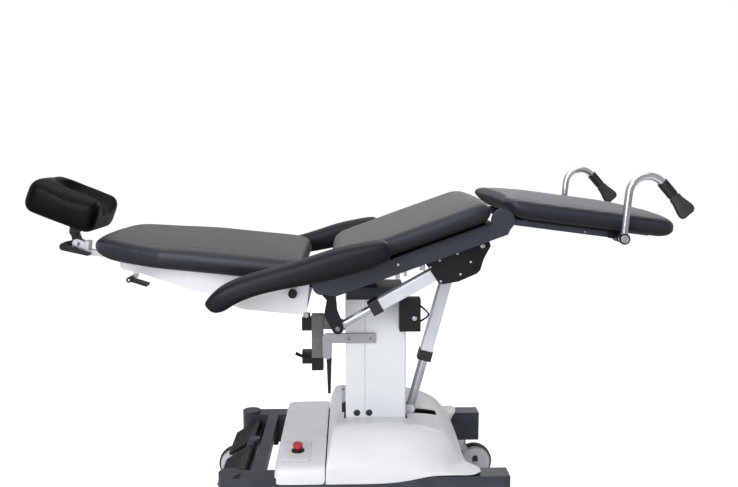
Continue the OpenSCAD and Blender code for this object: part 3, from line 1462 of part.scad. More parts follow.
// One hook: pin in the clamp, straight rise, bend and the straight end that holds the grip
module hook(side) {
  y1 = plate_in + face_gap;
  color(steel_colour) on_leg() translate([hook_u, side * hook_y, hook_w]) {
    rod_y(0, 0, hook_d / 2 - over, side > 0 ? -(hook_y - y1) : 0, side > 0 ? 0 : hook_y - y1);
    rod_y(0, 0, hook_d / 2 + over, -hook_d / 2 - 2 * over, hook_d / 2 + 2 * over);
    rotate([0, -hook_lean - leg_angle, 0]) {
      rotate([0, 90, 0]) cylinder(d = hook_d, h = hook_rise + bend_lap);
      translate([hook_rise, 0, -hook_bend]) rotate([90, 0, 0]) rotate([0, 0, 90 - hook_turn])
        rotate_extrude(angle = hook_turn) translate([hook_bend, 0]) circle(r = hook_d / 2 + bend_step);
      translate([hook_rise, 0, -hook_bend]) rotate([0, hook_turn, 0]) translate([-bend_lap, 0, hook_bend])
        rotate([0, 90, 0]) cylinder(d = hook_d, h = hook_end + bend_lap);
    }
  }
}

module hook_grip(side) {
  l = grip_l;
  color("#3a3a3f") on_leg() translate([hook_u, side * hook_y, hook_w]) rotate([0, -hook_lean - leg_angle, 0])
    translate([hook_rise, 0, -hook_bend]) rotate([0, hook_turn, 0]) translate([0, 0, hook_bend]) rotate([0, 90, 0])
      difference() {
        rotate_extrude() polygon([[0, 0], [grip_neck_r, 0], [grip_neck_r + over, over], [grip_neck_r + over, sleeve_share * l],
          [grip_neck_r - over, sleeve_share * l + 2 * over], [grip_neck_r, 0.6 * l], [0.68 * grip_end_r, 0.72 * l],
          [0.86 * grip_end_r, 0.84 * l], [grip_end_r, 0.93 * l], [0.94 * grip_end_r, 0.98 * l], [0.75 * grip_end_r, l], [0, l]]);
        translate([0, 0, -over]) cylinder(r = hook_d / 2 + fit, h = hook_end + over);
      }
}

// One armrest, hung on its spindle
module armrest(side) {
  z0 = hinge_z + spindle_v * sin(back_angle) + spindle_w * cos(back_angle);
  x0 = hinge_x - spindle_v * cos(back_angle) + spindle_w * sin(back_angle);
  mid = side * (arm_in + arm_w / 2);
  rings = [for (s = arm_shares)
    ring([s[0] * arm_l - arm_behind, s[3] * arm_w / 2, -s[2] * arm_h, s[1] * arm_h], arm_w / 2, 0, arm_power)];
  color(black_colour) translate([x0, 0, z0]) difference() {
    translate([0, mid, 0]) rotate([0, -arm_angle, 0]) loft(rings);
    rod_y(0, 0, spindle_r + fit, side > 0 ? 0 : -arm_in - arm_bore, side > 0 ? arm_in + arm_bore : 0);
  }
}

base_frame();
base_cover();
head_cover();
inner_mast();
pedal_housing();
caster_fork(-1, -1);  // fork_head_near
caster_fork(-1, 1);  // fork_head_far
caster_fork(1, -1);  // fork_foot_near
caster_fork(1, 1);  // fork_foot_far
wheel_hub(-1, -1);  // hub_head_near
wheel_hub(-1, 1);  // hub_head_far
wheel_hub(1, -1);  // hub_foot_near
wheel_hub(1, 1);  // hub_foot_far
wheel_tyre(-1, -1);  // tyre_head_near
wheel_tyre(-1, 1);  // tyre_head_far
wheel_tyre(1, -1);  // tyre_foot_near
wheel_tyre(1, 1);  // tyre_foot_far
stop_button();
foot_pedal(-1);  // foot_pedal_near
foot_pedal(1);  // foot_pedal_far
brake_pedal();
column_shell();
column_bracket();
top_yoke();
motor_box();
accessory_tube();
tube_clamps();
cable_guide();
lift_rod();
clamp_knob();
clamp_handle();
side_plates();
seat_frame();
gearbox_plates();
seat_cushion();
back_actuator_tube();
back_actuator_rod();
tilt_actuator_tube();
tilt_actuator_rod();
back_shell();
back_frame();
back_cushion();
release_lever();
back_knob();
head_bar();
head_knuckle();
head_lever();
pad_bracket();
head_pad();
leg_frame();
leg_cushion();
hook_clamps();
wing_screw(-1);  // wing_screw_near
wing_screw(1);  // wing_screw_far
hook(-1);  // hook_near
hook(1);  // hook_far
hook_grip(-1);  // hook_grip_near
hook_grip(1);  // hook_grip_far
armrest(-1);  // armrest_near
armrest(1);  // armrest_far
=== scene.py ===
import json
from math import cos, pi, radians, sin, sqrt

import bmesh
import bpy
from mathutils import Matrix, Vector, kdtree
from mathutils.bvhtree import BVHTree

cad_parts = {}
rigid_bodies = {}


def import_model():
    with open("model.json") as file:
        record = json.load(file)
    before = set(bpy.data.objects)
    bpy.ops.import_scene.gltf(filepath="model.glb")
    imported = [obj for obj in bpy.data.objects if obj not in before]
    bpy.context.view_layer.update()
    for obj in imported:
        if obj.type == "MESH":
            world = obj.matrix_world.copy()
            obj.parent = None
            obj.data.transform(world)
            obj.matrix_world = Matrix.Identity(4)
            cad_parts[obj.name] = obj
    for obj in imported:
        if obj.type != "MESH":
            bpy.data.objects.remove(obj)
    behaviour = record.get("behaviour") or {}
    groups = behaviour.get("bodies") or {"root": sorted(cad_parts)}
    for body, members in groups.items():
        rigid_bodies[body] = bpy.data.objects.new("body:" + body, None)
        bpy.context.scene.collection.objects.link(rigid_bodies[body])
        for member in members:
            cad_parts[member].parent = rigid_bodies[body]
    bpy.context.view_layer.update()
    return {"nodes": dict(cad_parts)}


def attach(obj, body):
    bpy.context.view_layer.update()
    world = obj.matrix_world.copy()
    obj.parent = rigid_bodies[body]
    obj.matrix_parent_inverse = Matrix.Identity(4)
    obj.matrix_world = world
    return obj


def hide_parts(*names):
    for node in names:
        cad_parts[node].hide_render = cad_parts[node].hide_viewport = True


for thing in list(bpy.data.objects):  # Blender's own cube, lamp and camera
    bpy.data.objects.remove(thing)
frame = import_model()


# camera and lamps

view = {"place": (-0.00266, -2.450, 1.190), "down": 7.0, "turn": -1.6, "lens": 38.24, "sensor": 36.0}
camera = bpy.data.cameras.new("camera")
camera.lens, camera.sensor_width = view["lens"], view["sensor"]
cameraPiece = bpy.data.objects.new("camera", camera)
cameraPiece.location = view["place"]
cameraPiece.rotation_euler = (radians(90 - view["down"]), 0, radians(view["turn"]))
bpy.context.scene.collection.objects.link(cameraPiece)
bpy.context.scene.camera = cameraPiece
bpy.context.scene.view_settings.view_transform = "Standard"

lampValues = {
    "overhead": {"place": (-0.2, -0.2, 3.4), "aim": (0, 0, 0.6), "size": 3.2, "power": 58,
                 "colour": (1, 0.995, 0.985)},
    "front": {"place": (-1.6, -4.0, 2.2), "aim": (0, 0, 0.6), "size": 2.6, "power": 110,
              "colour": (0.97, 0.985, 1)},
    "rear": {"place": (1.8, 3.4, 2.8), "aim": (0, 0, 0.7), "size": 2.4, "power": 24, "colour": (1, 1, 1)},
}
for lampName, values in lampValues.items():
    lamp = bpy.data.lights.new(lampName, "AREA")
    lamp.shape, lamp.size = "SQUARE", values["size"]
    lamp.energy, lamp.color = values["power"], values["colour"]
    lampPiece = bpy.data.objects.new(lampName, lamp)
    lampPiece.location = values["place"]
    aim = Vector(values["aim"]) - Vector(values["place"])
    lampPiece.rotation_euler = aim.to_track_quat("-Z", "Y").to_euler()
    bpy.context.scene.collection.objects.link(lampPiece)


# materials

class Wire:  # one output of a node; sums on wires add Math nodes
    def __init__(self, tree, plug=None):
        self.tree, self.plug = tree, plug

    def node(self, kind, settings=None, inputs=None, output=0):
        made = self.tree.nodes.new(kind)
        for name, value in (settings or {}).items():
            if name == "stops":
                for k, (place, colour) in enumerate(value):
                    stop = made.color_ramp.elements[k] if k < 2 else made.color_ramp.elements.new(place)
                    stop.position, stop.color = place, (*colour[:3], 1)
            else:
                setattr(made, name, value)
        for name, value in (inputs or {}).items():
            if isinstance(value, Wire):
                self.tree.links.new(value.plug, made.inputs[name])
            else:
                made.inputs[name].default_value = value
        return Wire(self.tree, made.outputs[output] if len(made.outputs) else None)

    def math(self, operation, *values):
        return self.node("ShaderNodeMath", {"operation": operation}, dict(enumerate(values)))

    def __add__(self, other):
        return self.math("ADD", self, other)

    def __radd__(self, other):
        return self.math("ADD", other, self)

    def __sub__(self, other):
        return self.math("SUBTRACT", self, other)

    def __rsub__(self, other):
        return self.math("SUBTRACT", other, self)

    def __mul__(self, other):
        return self.math("MULTIPLY", self, other)

    def __rmul__(self, other):
        return self.math("MULTIPLY", other, self)

    def __gt__(self, other):
        return self.math("GREATER_THAN", self, other)

    def __lt__(self, other):
        return self.math("LESS_THAN", self, other)

    def dot(self, direction):
        return self.node("ShaderNodeVectorMath", {"operation": "DOT_PRODUCT"},
                         {0: self, 1: direction}, output="Value")

    def stretched(self, scales):
        return self.node("ShaderNodeVectorMath", {"operation": "MULTIPLY"}, {0: self, 1: scales})

    def step(self, low, high):  # 0 below low, 1 above high
        return self.node("ShaderNodeMapRange", {}, {"Value": self, "From Min": low, "From Max": high})

    def blend(self, first, second):  # this wire mixes two colours
        return self.node("ShaderNodeMix", {"data_type": "RGBA"},
                         {0: self, 6: rgba(first), 7: rgba(second)}, output=2)

    def noise(self, scale, detail=3.0, roughness=0.5):
        return self.node("ShaderNodeTexNoise", {}, {"Vector": self, "Scale": scale, "Detail": detail,
                                                    "Roughness": roughness})


def rgba(colour):  # a hex colour made linear, or a wire as it is
    if isinstance(colour, Wire):
        return colour
    parts = [int(colour[k:k + 2], 16) / 255 for k in (1, 3, 5)]
    return (*[p / 12.92 if p <= 0.04045 else ((p + 0.055) / 1.055) ** 2.4 for p in parts], 1)


def newMaterial(name):
    material = bpy.data.materials.new(name)
    material.use_nodes = True
    material.node_tree.nodes.clear()
    return material, Wire(material.node_tree)


def closeMaterial(wire, surface):
    wire.node("ShaderNodeOutputMaterial", {}, {"Surface": surface})


def roundedNormal(wire, radius):  # edges that catch the light as if rounded
    return wire.node("ShaderNodeBevel", {"samples": 4}, {"Radius": radius})


# what a hard finish has unless its own values say otherwise; grain and patches are counted per metre
hardDefaults = {"patches": 9, "patchEdges": (0.35, 0.68), "grain": 700, "stretch": (1, 1, 1),
                "speckle": 0.08, "metal": 0.0, "depth": 0.0001, "bump": 0.4, "round": 0.0012, "wear": 0.5,
                "coat": 0.0, "coatRough": 0.12, "ior": 1.48}
edgeWear = {"gain": 6, "patches": 60, "edges": (0.2, 0.7)}
lowDust = {"colour": "#8d8a84", "fullBelow": 0.14, "patches": 14, "edges": (0.4, 0.75), "amount": 0.25}


def hardFinish(name, own):
    # colour, worn and second are hex colours; zones repaint a stretch along an axis
    values = dict(hardDefaults, **own)
    material, wire = newMaterial(name)
    place = wire.node("ShaderNodeTexCoord", output="Object")
    patches = place.noise(values["patches"], 4).step(*values["patchEdges"])
    fine = place.stretched(values["stretch"]).noise(values["grain"], 2)
    colour = patches.blend(values["colour"], values["second"])
    smooth, rough = values["rough"]
    roughness = smooth + patches * (rough - smooth) + (fine - 0.5) * values["speckle"]
    metallic = values["metal"]
    for zone in values.get("zones", []):
        distance = place.dot(zone["axis"]) - Vector(zone["point"]).dot(Vector(zone["axis"]))
        inside = (distance > zone["start"]) * (distance < zone["end"])
        colour = inside.blend(colour, zone["colour"])
        roughness = roughness + inside * (zone["rough"] - roughness)
        metallic = metallic + inside * (zone["metal"] - metallic)
    soft = roundedNormal(wire, values["round"])
    if "worn" in values:
        edge = 1 - soft.dot(wire.node("ShaderNodeNewGeometry", output="Normal"))
        rub = (edge * edgeWear["gain"] * place.noise(edgeWear["patches"], 3)).step(*edgeWear["edges"])
        colour = (rub * values["wear"]).blend(colour, values["worn"])
    if "dust" in values:  # paler low down, where a mop and shoes reach
        low = 1 - place.dot((0, 0, 1)).step(lowDust["fullBelow"], values["dust"])
        low = low * place.noise(lowDust["patches"], 4).step(*lowDust["edges"]) * lowDust["amount"]
        colour = low.blend(colour, lowDust["colour"])
    normal = wire.node("ShaderNodeBump", {}, {
        "Strength": values["bump"], "Distance": values["depth"], "Height": fine, "Normal": soft})
    shader = wire.node("ShaderNodeBsdfPrincipled", {}, {
        "Base Color": colour, "Roughness": roughness, "Metallic": metallic, "Normal": normal,
        "Coat Weight": values["coat"], "Coat Roughness": values["coatRough"], "IOR": values["ior"]})
    closeMaterial(wire, shader)
    return material


def vinylFinish(name, values):
    # leathercloth: pebbled grain and faint creases, near black on its sides, painted paler where it faces
    # up as painted light, and painted darker underneath and in the grain's hollows as painted shade
    material, wire = newMaterial(name)
    place = wire.node("ShaderNodeTexCoord", output="Object")
    cells = wire.node("ShaderNodeTexVoronoi", {"feature": "DISTANCE_TO_EDGE"},
                      {"Vector": place, "Scale": values["grain"], "Randomness": 0.9}, output="Distance")
    pebble = cells.step(0.0, 0.35)
    pores = place.noise(values["grain"] * values["pores"], 2)
    creases = place.stretched(values["creaseStretch"]).noise(values["creases"], 5, 0.6)
    patches = place.noise(values["patches"], 4).step(0.3, 0.72)
    up = wire.node("ShaderNodeNewGeometry", output="Normal").dot(values["up"])
    # painted light: faces turned up are painted paler, as if lit from above
    paintedTopLight = up.step(values["paintedTopLightFrom"], values["paintedTopLightTo"]) * (0.86 + patches * 0.14) * values["paintedTopLight"]
    colour = paintedTopLight.blend(patches.blend(values["colour"], values["second"]), values["top"])
    # painted shade: faces turned down are painted darker
    under = 1 - up.step(-0.5, 0.0)
    colour = under.blend(colour, values["paintedShade"])
    band = up.step(-0.15, 0.3) * (1 - up.step(0.3, 0.62)) * values["band"]  # soft light on the shoulder
    colour = band.blend(colour, values["shoulder"])
    # painted shade in the hollows of the pebbled grain
    colour = ((1 - pebble) * values["paintedGrainShade"]).blend(colour, values["paintedShade"])
    roughness = values["rough"] + paintedTopLight * values["paintedTopLightRough"] + (patches - 0.5) * 0.1 + (1 - pebble) * 0.1
    roughness = roughness + under * values["underRough"]
    height = pebble * values["pebbleDepth"] + pores * values["poreDepth"]
    height = height + creases.step(0.42, 0.62) * values["crease"]
    normal = wire.node("ShaderNodeBump", {}, {
        "Strength": values["bump"], "Distance": values["depth"], "Height": height})
    shader = wire.node("ShaderNodeBsdfPrincipled", {}, {
        "Base Color": colour, "Roughness": roughness, "Normal": normal,
        "Sheen Weight": values["sheen"], "Sheen Roughness": 0.45, "IOR": values["ior"],
        "Specular IOR Level": values["shine"]})
    closeMaterial(wire, shader)
    return material


# pivots and directions of the bed, in metres
hinge = Vector((-0.07513, 0, 0.801))
legHinge = Vector((0.43671, 0, 0.98527))
padPivot = Vector((-0.84969, 0, 0.92997))
spindle = Vector((-0.32794, 0, 0.78735))
motorPin = Vector((0.36185, -0.190, 0.88499))
leverPin = Vector((-0.03113, -0.190, 0.665))
tiltFoot = Vector((0.19787, 0, 0.355))
tiltTop = Vector((0.32574, 0, 0.83001))
restTurns = {"seat": -19.8, "back": 6, "leg": 7.5, "pad": 21.5, "arm": -17}  # degrees about the Y axis


def planeAt(place, turn):
    return Matrix.Translation(place) @ Matrix.Rotation(radians(turn), 4, "Y")


seatPlane = planeAt(hinge, restTurns["seat"])
backPlane = planeAt(hinge, restTurns["back"])
legPlane = planeAt(legHinge, restTurns["leg"])
padPlane = planeAt(padPivot, restTurns["pad"])
armPlane = planeAt(spindle, restTurns["arm"])


def upOf(plane):
    return tuple((plane.to_3x3() @ Vector((0, 0, 1))).normalized())


def along(first, second):
    return tuple((second - first).normalized())


stripFoot = {"point": (-0.017, -0.071, 0.3655), "axis": (0, 0, 1), "rough": 0.45, "metal": 0.0}
stripZones = [dict(stripFoot, start=-0.01, end=0.032, colour="#202227"),
              dict(stripFoot, start=0.072, end=0.077, colour="#3a3f55")]
finishes = {
    "frame_paint": {"colour": "#2e3440", "second": "#282d38", "worn": "#5d6470", "wear": 0.35,
                    "rough": (0.34, 0.44), "grain": 420, "depth": 0.00025, "bump": 0.25, "round": 0.0018,
                    "patches": 6, "dust": 0.3},
    "white_cover": {"colour": "#eeeff3", "second": "#e8e9ec", "rough": (0.3, 0.4), "grain": 900,
                    "depth": 0.0001, "bump": 0.2, "round": 0.004, "patches": 5, "dust": 0.34,
                    "coat": 0.1},
    "white_column": {"colour": "#edeff3", "second": "#e7e9ed", "rough": (0.32, 0.42), "grain": 500,
                     "depth": 0.00015, "bump": 0.2, "round": 0.003, "patches": 7},
    "mast_metal": {"colour": "#b5b9bf", "second": "#a4a8ae", "rough": (0.32, 0.45), "metal": 0.85,
                   "grain": 300, "stretch": (1, 1, 0.05), "depth": 0.0001, "bump": 0.3},
    "black_plastic": {"colour": "#121215", "second": "#19191c", "worn": "#3a3a40", "wear": 0.4,
                      "rough": (0.42, 0.54), "grain": 1100, "depth": 0.00015, "bump": 0.45,
                      "round": 0.0015, "ior": 1.36},
    "black_paint": {"colour": "#101116", "second": "#17181d", "worn": "#55575e", "wear": 0.45,
                    "rough": (0.3, 0.42), "grain": 500, "depth": 0.0002, "bump": 0.25, "round": 0.0012,
                    "ior": 1.34},
    "steel": {"colour": "#c3c6ca", "second": "#adb0b5", "rough": (0.26, 0.4), "metal": 0.9, "grain": 260,
              "depth": 0.00008, "bump": 0.25, "round": 0.0012, "patches": 22},
    "polished_steel": {"colour": "#d5d8dc", "second": "#c2c5ca", "rough": (0.1, 0.2), "metal": 0.97,
                       "grain": 240, "stretch": (1, 0.1, 1), "depth": 0.00004, "bump": 0.2,
                       "round": 0.001, "patches": 16},
    "tube_aluminium": {"colour": "#eaeef5", "second": "#e0e4eb", "rough": (0.3, 0.4), "metal": 0.35,
                       "grain": 420, "depth": 0.00006, "bump": 0.25, "round": 0.002, "patches": 12},
    "bronze_tube": {"colour": "#76736d", "second": "#66635e", "rough": (0.34, 0.46), "metal": 0.45,
                    "grain": 380, "stretch": (1, 1, 0.1), "depth": 0.0001, "bump": 0.3, "round": 0.002},
    "grey_bracket": {"colour": "#acacb1", "second": "#9f9fa5", "worn": "#bcbcc0", "wear": 0.4,
                     "rough": (0.36, 0.48), "metal": 0.3, "grain": 480, "depth": 0.0002, "bump": 0.3,
                     "round": 0.0015},
    "tyre": {"colour": "#1b1b1c", "second": "#27272a", "rough": (0.6, 0.75), "grain": 700,
             "depth": 0.0003, "bump": 0.5, "round": 0.002, "dust": 0.14},
    "hub_plastic": {"colour": "#dcdee3", "second": "#cdcfd4", "rough": (0.36, 0.46), "grain": 800,
                    "depth": 0.0001, "bump": 0.3, "round": 0.0015},
    "red_plastic": {"colour": "#cc2c3c", "second": "#bf2635", "rough": (0.22, 0.32), "grain": 600,
                    "depth": 0.00005, "bump": 0.2, "round": 0.0015, "coat": 0.3},
    "pedal_pad": {"colour": "#4b4558", "second": "#3f3a4b", "rough": (0.5, 0.62), "grain": 900,
                  "depth": 0.0003, "bump": 0.5, "round": 0.0015},
    "grip_paddle": {"colour": "#38383c", "second": "#2e2e32", "rough": (0.45, 0.58), "grain": 1500,
                    "depth": 0.00025, "bump": 0.5, "round": 0.001},
    "bright_screw": {"colour": "#d3d6da", "second": "#b3b6ba", "worn": "#f0f1f3", "rough": (0.2, 0.34),
                     "metal": 0.85, "grain": 900, "depth": 0.00005, "bump": 0.25, "round": 0.0004,
                     "patches": 60},
    "dark_screw": {"colour": "#8a8d94", "second": "#6d7077", "worn": "#c0c2c6", "rough": (0.26, 0.4),
                   "metal": 0.8, "grain": 900, "depth": 0.00005, "bump": 0.25, "round": 0.0004,
                   "patches": 60},
    "plug": {"colour": "#2b2d33", "second": "#232529", "rough": (0.34, 0.46), "grain": 900,
             "depth": 0.0001, "bump": 0.3, "round": 0.0006},
    "strip": {"colour": "#a9aeba", "second": "#979ca8", "rough": (0.3, 0.42), "metal": 0.3, "grain": 500,
              "depth": 0.0001, "bump": 0.3, "round": 0.0006, "zones": stripZones},
    "wing_bronze": {"colour": "#6b6660", "second": "#57534e", "worn": "#a39e96", "rough": (0.34, 0.46),
                    "metal": 0.7, "grain": 700, "depth": 0.0001, "bump": 0.3, "round": 0.0006},
    "grip_plastic": {"colour": "#121214", "second": "#19191b", "rough": (0.4, 0.52), "grain": 1300,
                     "depth": 0.0003, "bump": 0.6, "round": 0.001},
}
made = {name: hardFinish(name, values) for name, values in finishes.items()}

blackCollar = {"colour": "#202024", "rough": 0.45, "metal": 0.0}
backCollar = dict(finishes["tube_aluminium"], zones=[
    dict(blackCollar, point=tuple(motorPin), axis=along(motorPin, leverPin), start=0.3079, end=0.345),
    dict(blackCollar, point=tuple(motorPin), axis=along(motorPin, leverPin), start=-0.03, end=0.034)])
tiltCollar = dict(finishes["tube_aluminium"], zones=[
    dict(blackCollar, point=tuple(tiltFoot), axis=along(tiltFoot, tiltTop), start=0.16, end=0.1971)])
made["back_actuator_profile"] = hardFinish("back_actuator_profile", backCollar)
made["tilt_actuator_profile"] = hardFinish("tilt_actuator_profile", tiltCollar)

# the top colour and the band on the shoulder are painted light; the darkest colour is painted shade for
# undersides and the grain's hollows
vinyl = {"colour": "#1c1f28", "second": "#171a22", "top": "#67676a", "paintedShade": "#14161b",
         "paintedGrainShade": 0.35, "grain": 620, "underRough": 0.4, "pores": 2.4, "creases": 11,
         "creaseStretch": (1.0, 3.0, 1.0), "patches": 5.5, "pebbleDepth": 0.6, "poreDepth": 0.25,
         "shoulder": "#3f4354", "band": 0.55, "paintedTopLightFrom": 0.78, "paintedTopLightTo": 0.99, "rough": 0.34,
         "paintedTopLightRough": 0.22, "paintedTopLight": 0.95, "bump": 0.3, "depth": 0.0004, "crease": 0.4, "sheen": 0.03,
         "shine": 0.4, "ior": 1.46}
padVinyl = dict(vinyl, colour="#040405", second="#060607", top="#0f0f12", paintedShade="#020202",
                shoulder="#0d0d10", rough=0.3, paintedTopLightRough=0.06, crease=0.25, band=0.3, shine=0.12,
                sheen=0.0)
armVinyl = dict(vinyl, colour="#0c0d13", second="#101117", top="#3a3b43", paintedShade="#08090c",
                shoulder="#2c2d37", grain=900, rough=0.36, paintedTopLightRough=0.14, crease=0.1, bump=0.22,
                paintedTopLightFrom=0.7, shine=0.24)
# each cushion's top colour is painted light, paler or darker as the light falls on its slope
for name, values, plane in (("seat_vinyl", dict(vinyl, top="#6f6f71"), seatPlane),
                            ("back_vinyl", dict(vinyl, top="#5c5c5e"), backPlane),
                            ("leg_vinyl", dict(vinyl, top="#727479"), legPlane),
                            ("pad_vinyl", padVinyl, padPlane), ("arm_vinyl", armVinyl, armPlane)):
    made[name] = vinylFinish(name, dict(values, up=upOf(plane)))

for name, part in frame["nodes"].items():
    slotName = part.data.materials[0].name.split(".")[0]
    for k in range(len(part.material_slots)):
        part.material_slots[k].material = made.get(slotName, made["black_plastic"])
frame["nodes"]["back_actuator_tube"].material_slots[0].material = made["back_actuator_profile"]
frame["nodes"]["tilt_actuator_tube"].material_slots[0].material = made["tilt_actuator_profile"]
for side in ("near", "far"):
    frame["nodes"]["wing_screw_" + side].material_slots[0].material = made["wing_bronze"]
print("materials:", len(made))


# mesh tools

def addPiece(name, mesh, material, body, slotName):
    piece = bpy.data.objects.new(name, mesh)
    bpy.context.scene.collection.objects.link(piece)
    mesh.materials.append(made[material])
    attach(piece, body)
    return piece


def meshOf(name, points, faces):
    mesh = bpy.data.meshes.new(name)
    mesh.from_pydata(points, [], faces)
    mesh.validate()
    shape = bmesh.new()
    shape.from_mesh(mesh)
    bmesh.ops.recalc_face_normals(shape, faces=shape.faces)
    shape.to_mesh(mesh)
    shape.free()
    mesh.shade_smooth()
    return mesh


def signedPower(value, power):
    return -((-value) ** power) if value < 0 else value ** power


def lookup(value, table):
    for (a, low), (b, high) in zip(table, table[1:]):
        if value <= b:
            return low + (high - low) * max(0.0, value - a) / (b - a)
    return table[-1][1]


def loftMesh(name, rings, plane):
    size = len(rings[0])
    points = [plane @ Vector(p) for ring in rings for p in ring]
    faces = [(i * size + k, i * size + (k + 1) % size, (i + 1) * size + (k + 1) % size, (i + 1) * size + k)
             for i in range(len(rings) - 1) for k in range(size)]
    faces += [tuple(range(size)), tuple(range(len(points) - size, len(points)))]
    return meshOf(name, points, faces)


cushionForm = {"steps": 22, "around": 64, "sideways": 0.4, "upright": 0.5, "sag": 0.004}


def roundedEnd(radius, edge):
    # how far each ring of a rounded end lies in from the end, the side and the edge
    turns = [radians(10 * k) for k in range(1, 10)]
    return [(radius * (1 - cos(a)), radius * (1 - sin(a)), edge * (1 - sin(a))) for a in turns]


def cushionRings(values, shrink):
    # rings across a cushion whose ends are rounded in plan and in side view
    start, end = values["start"] + shrink, values["end"] - shrink
    half, low, high = values["half"] - shrink, values["low"], values["high"] - shrink
    first, last = [roundedEnd(values["plan"][k], values["edge"][k]) for k in (0, 1)]
    length, steps, around = end - start, cushionForm["steps"], cushionForm["around"]
    stations = [(start + x, inset, edge) for x, inset, edge in first]
    for k in range(1, steps):
        x = length * k / steps
        if values["plan"][0] < x < length - values["plan"][1]:
            stations.append((start + x, 0, 0))
    stations += [(end - x, inset, edge) for x, inset, edge in reversed(last)]
    rings = []
    for x, inset, edge in stations:
        share = (x - values["start"]) / (values["end"] - values["start"])
        wide = half * lookup(share, values["widths"]) - inset
        bottom = low + values.get("lift", 0) * lookup(share, values.get("lifts", [(0, 0), (1, 0)])) + edge
        top = low + (high - low) * lookup(share, values.get("heights", [(0, 1), (1, 1)])) - edge
        ring = []
        for k in range(around):
            angle = 2 * pi * k / around
            y, s = wide * signedPower(cos(angle), cushionForm["sideways"]), sin(angle)
            rise = values["crown"] * (1 - (y / half) ** 2) * s if s > 0 else 0
            z = (bottom + top) / 2 + (top - bottom) / 2 * signedPower(s, cushionForm["upright"]) + rise
            ring.append((x, y, max(bottom, z - (cushionForm["sag"] if s < 0 else 0))))
        rings.append(ring)
    return rings


def seamLoop(piece, plane, path):
    # a closed line drawn in plan, laid down on the piece from above
    tree = BVHTree.FromObject(piece, bpy.context.evaluated_depsgraph_get())
    points = []
    for k in range(len(path)):
        a, b = Vector(path[k]), Vector(path[(k + 1) % len(path)])
        parts = max(1, int((b - a).length / sewing["stitch"]))
        points += [a.lerp(b, j / parts) for j in range(parts)]
    down = plane.to_3x3() @ Vector((0, 0, -1))
    laid = []
    for p in points:
        hit = tree.ray_cast(plane @ Vector((p[0], p[1], sewing["castFrom"])), down)
        if hit[0] is not None:
            laid.append(hit[0])
    return laid


def roundedPath(left, right, wide, widths):
    # a rectangle with round corners in plan, its sides following the cushion's widths
    radius = sewing["corner"]
    corners = [(right - radius, wide - radius, 0), (left + radius, wide - radius, 90),
               (left + radius, -wide + radius, 180), (right - radius, -wide + radius, 270)]
    path = []
    for x, y, turn in corners:
        for k in range(7):
            a = radians(turn + 15 * k)
            path.append((x + radius * cos(a), y + radius * sin(a)))
    full = []
    for k in range(len(path)):
        a, b = Vector(path[k]), Vector(path[(k + 1) % len(path)])
        parts = max(1, int((b - a).length / sewing["spacing"]))
        full += [a.lerp(b, j / parts) for j in range(parts)]
    return [Vector((p[0], p[1] * lookup((p[0] - left) / (right - left), widths))) for p in full]


puffing = {"voxel": 0.008, "pressure": 4.0, "stiff": 2.0, "stretch": 12, "cap": 0.006, "mass": 0.3,
           "frames": 20}


def puff(piece, values, pinned, stillBelow, plane):
    # the cover is blown up like a filled cushion, held at its seams and its underside
    remesh = piece.modifiers.new("remesh", "REMESH")
    remesh.mode, remesh.voxel_size = "VOXEL", values["voxel"]
    applyModifiers(piece)
    mesh = piece.data
    before = [v.co.copy() for v in mesh.vertices]
    near = kdtree.KDTree(max(1, len(pinned)))
    for k, p in enumerate(pinned):
        near.insert(p, k)
    near.balance()
    group = piece.vertex_groups.new(name="held")
    flat = plane.inverted()
    for k, p in enumerate(before):
        if (flat @ p)[2] < stillBelow or (pinned and near.find(p)[2] < 0.6 * values["voxel"]):
            group.add([k], 1.0, "REPLACE")
    cloth = piece.modifiers.new("cloth", "CLOTH")
    cloth.settings.quality = 4
    cloth.settings.mass = values["mass"]
    cloth.settings.tension_stiffness = cloth.settings.compression_stiffness = values["stretch"]
    cloth.settings.bending_stiffness = values["stiff"]
    cloth.settings.use_pressure = True
    cloth.settings.uniform_pressure_force = values["pressure"]
    cloth.settings.effector_weights.gravity = 0
    cloth.settings.vertex_group_mass = "held"
    cloth.collision_settings.use_collision = False
    cloth.point_cache.frame_start, cloth.point_cache.frame_end = 1, values["frames"]
    for number in range(1, values["frames"] + 1):
        bpy.context.scene.frame_set(number)
    shown = piece.evaluated_get(bpy.context.evaluated_depsgraph_get())
    after = [v.co.copy() for v in shown.data.vertices]
    piece.modifiers.remove(cloth)
    bpy.context.scene.frame_set(1)
    for v, a, b in zip(mesh.vertices, before, after):
        move = b - a
        v.co = a + move * min(1.0, values["cap"] / max(move.length, 1e-9))
    smooth = piece.modifiers.new("smooth", "SMOOTH")
    smooth.factor, smooth.iterations = 0.5, 2
    piece.modifiers.new("finer", "SUBSURF").levels = 1
    applyModifiers(piece)
    piece.vertex_groups.clear()


def applyModifiers(piece):
    shown = piece.evaluated_get(bpy.context.evaluated_depsgraph_get())
    mesh = bpy.data.meshes.new_from_object(shown)
    old = piece.data
    piece.modifiers.clear()
    piece.data = mesh
    bpy.data.meshes.remove(old)
    mesh.shade_smooth()


def sharpen(piece, angle):
    piece.data.set_sharp_from_angle(angle=radians(angle))


def sinkSeam(piece, line):
    # draws the cover in along a sewn line
    width, depth = sewing["width"], sewing["depth"]
    near = kdtree.KDTree(len(line))
    for k, p in enumerate(line):
        near.insert(p, k)
    near.balance()
    mesh = piece.data
    normals = [v.normal.copy() for v in mesh.vertices]
    for v, n in zip(mesh.vertices, normals):
        distance = near.find(v.co)[2]
        if distance < 3 * width:
            v.co = v.co - n * depth * 2.718 ** (-(distance / width) ** 2)


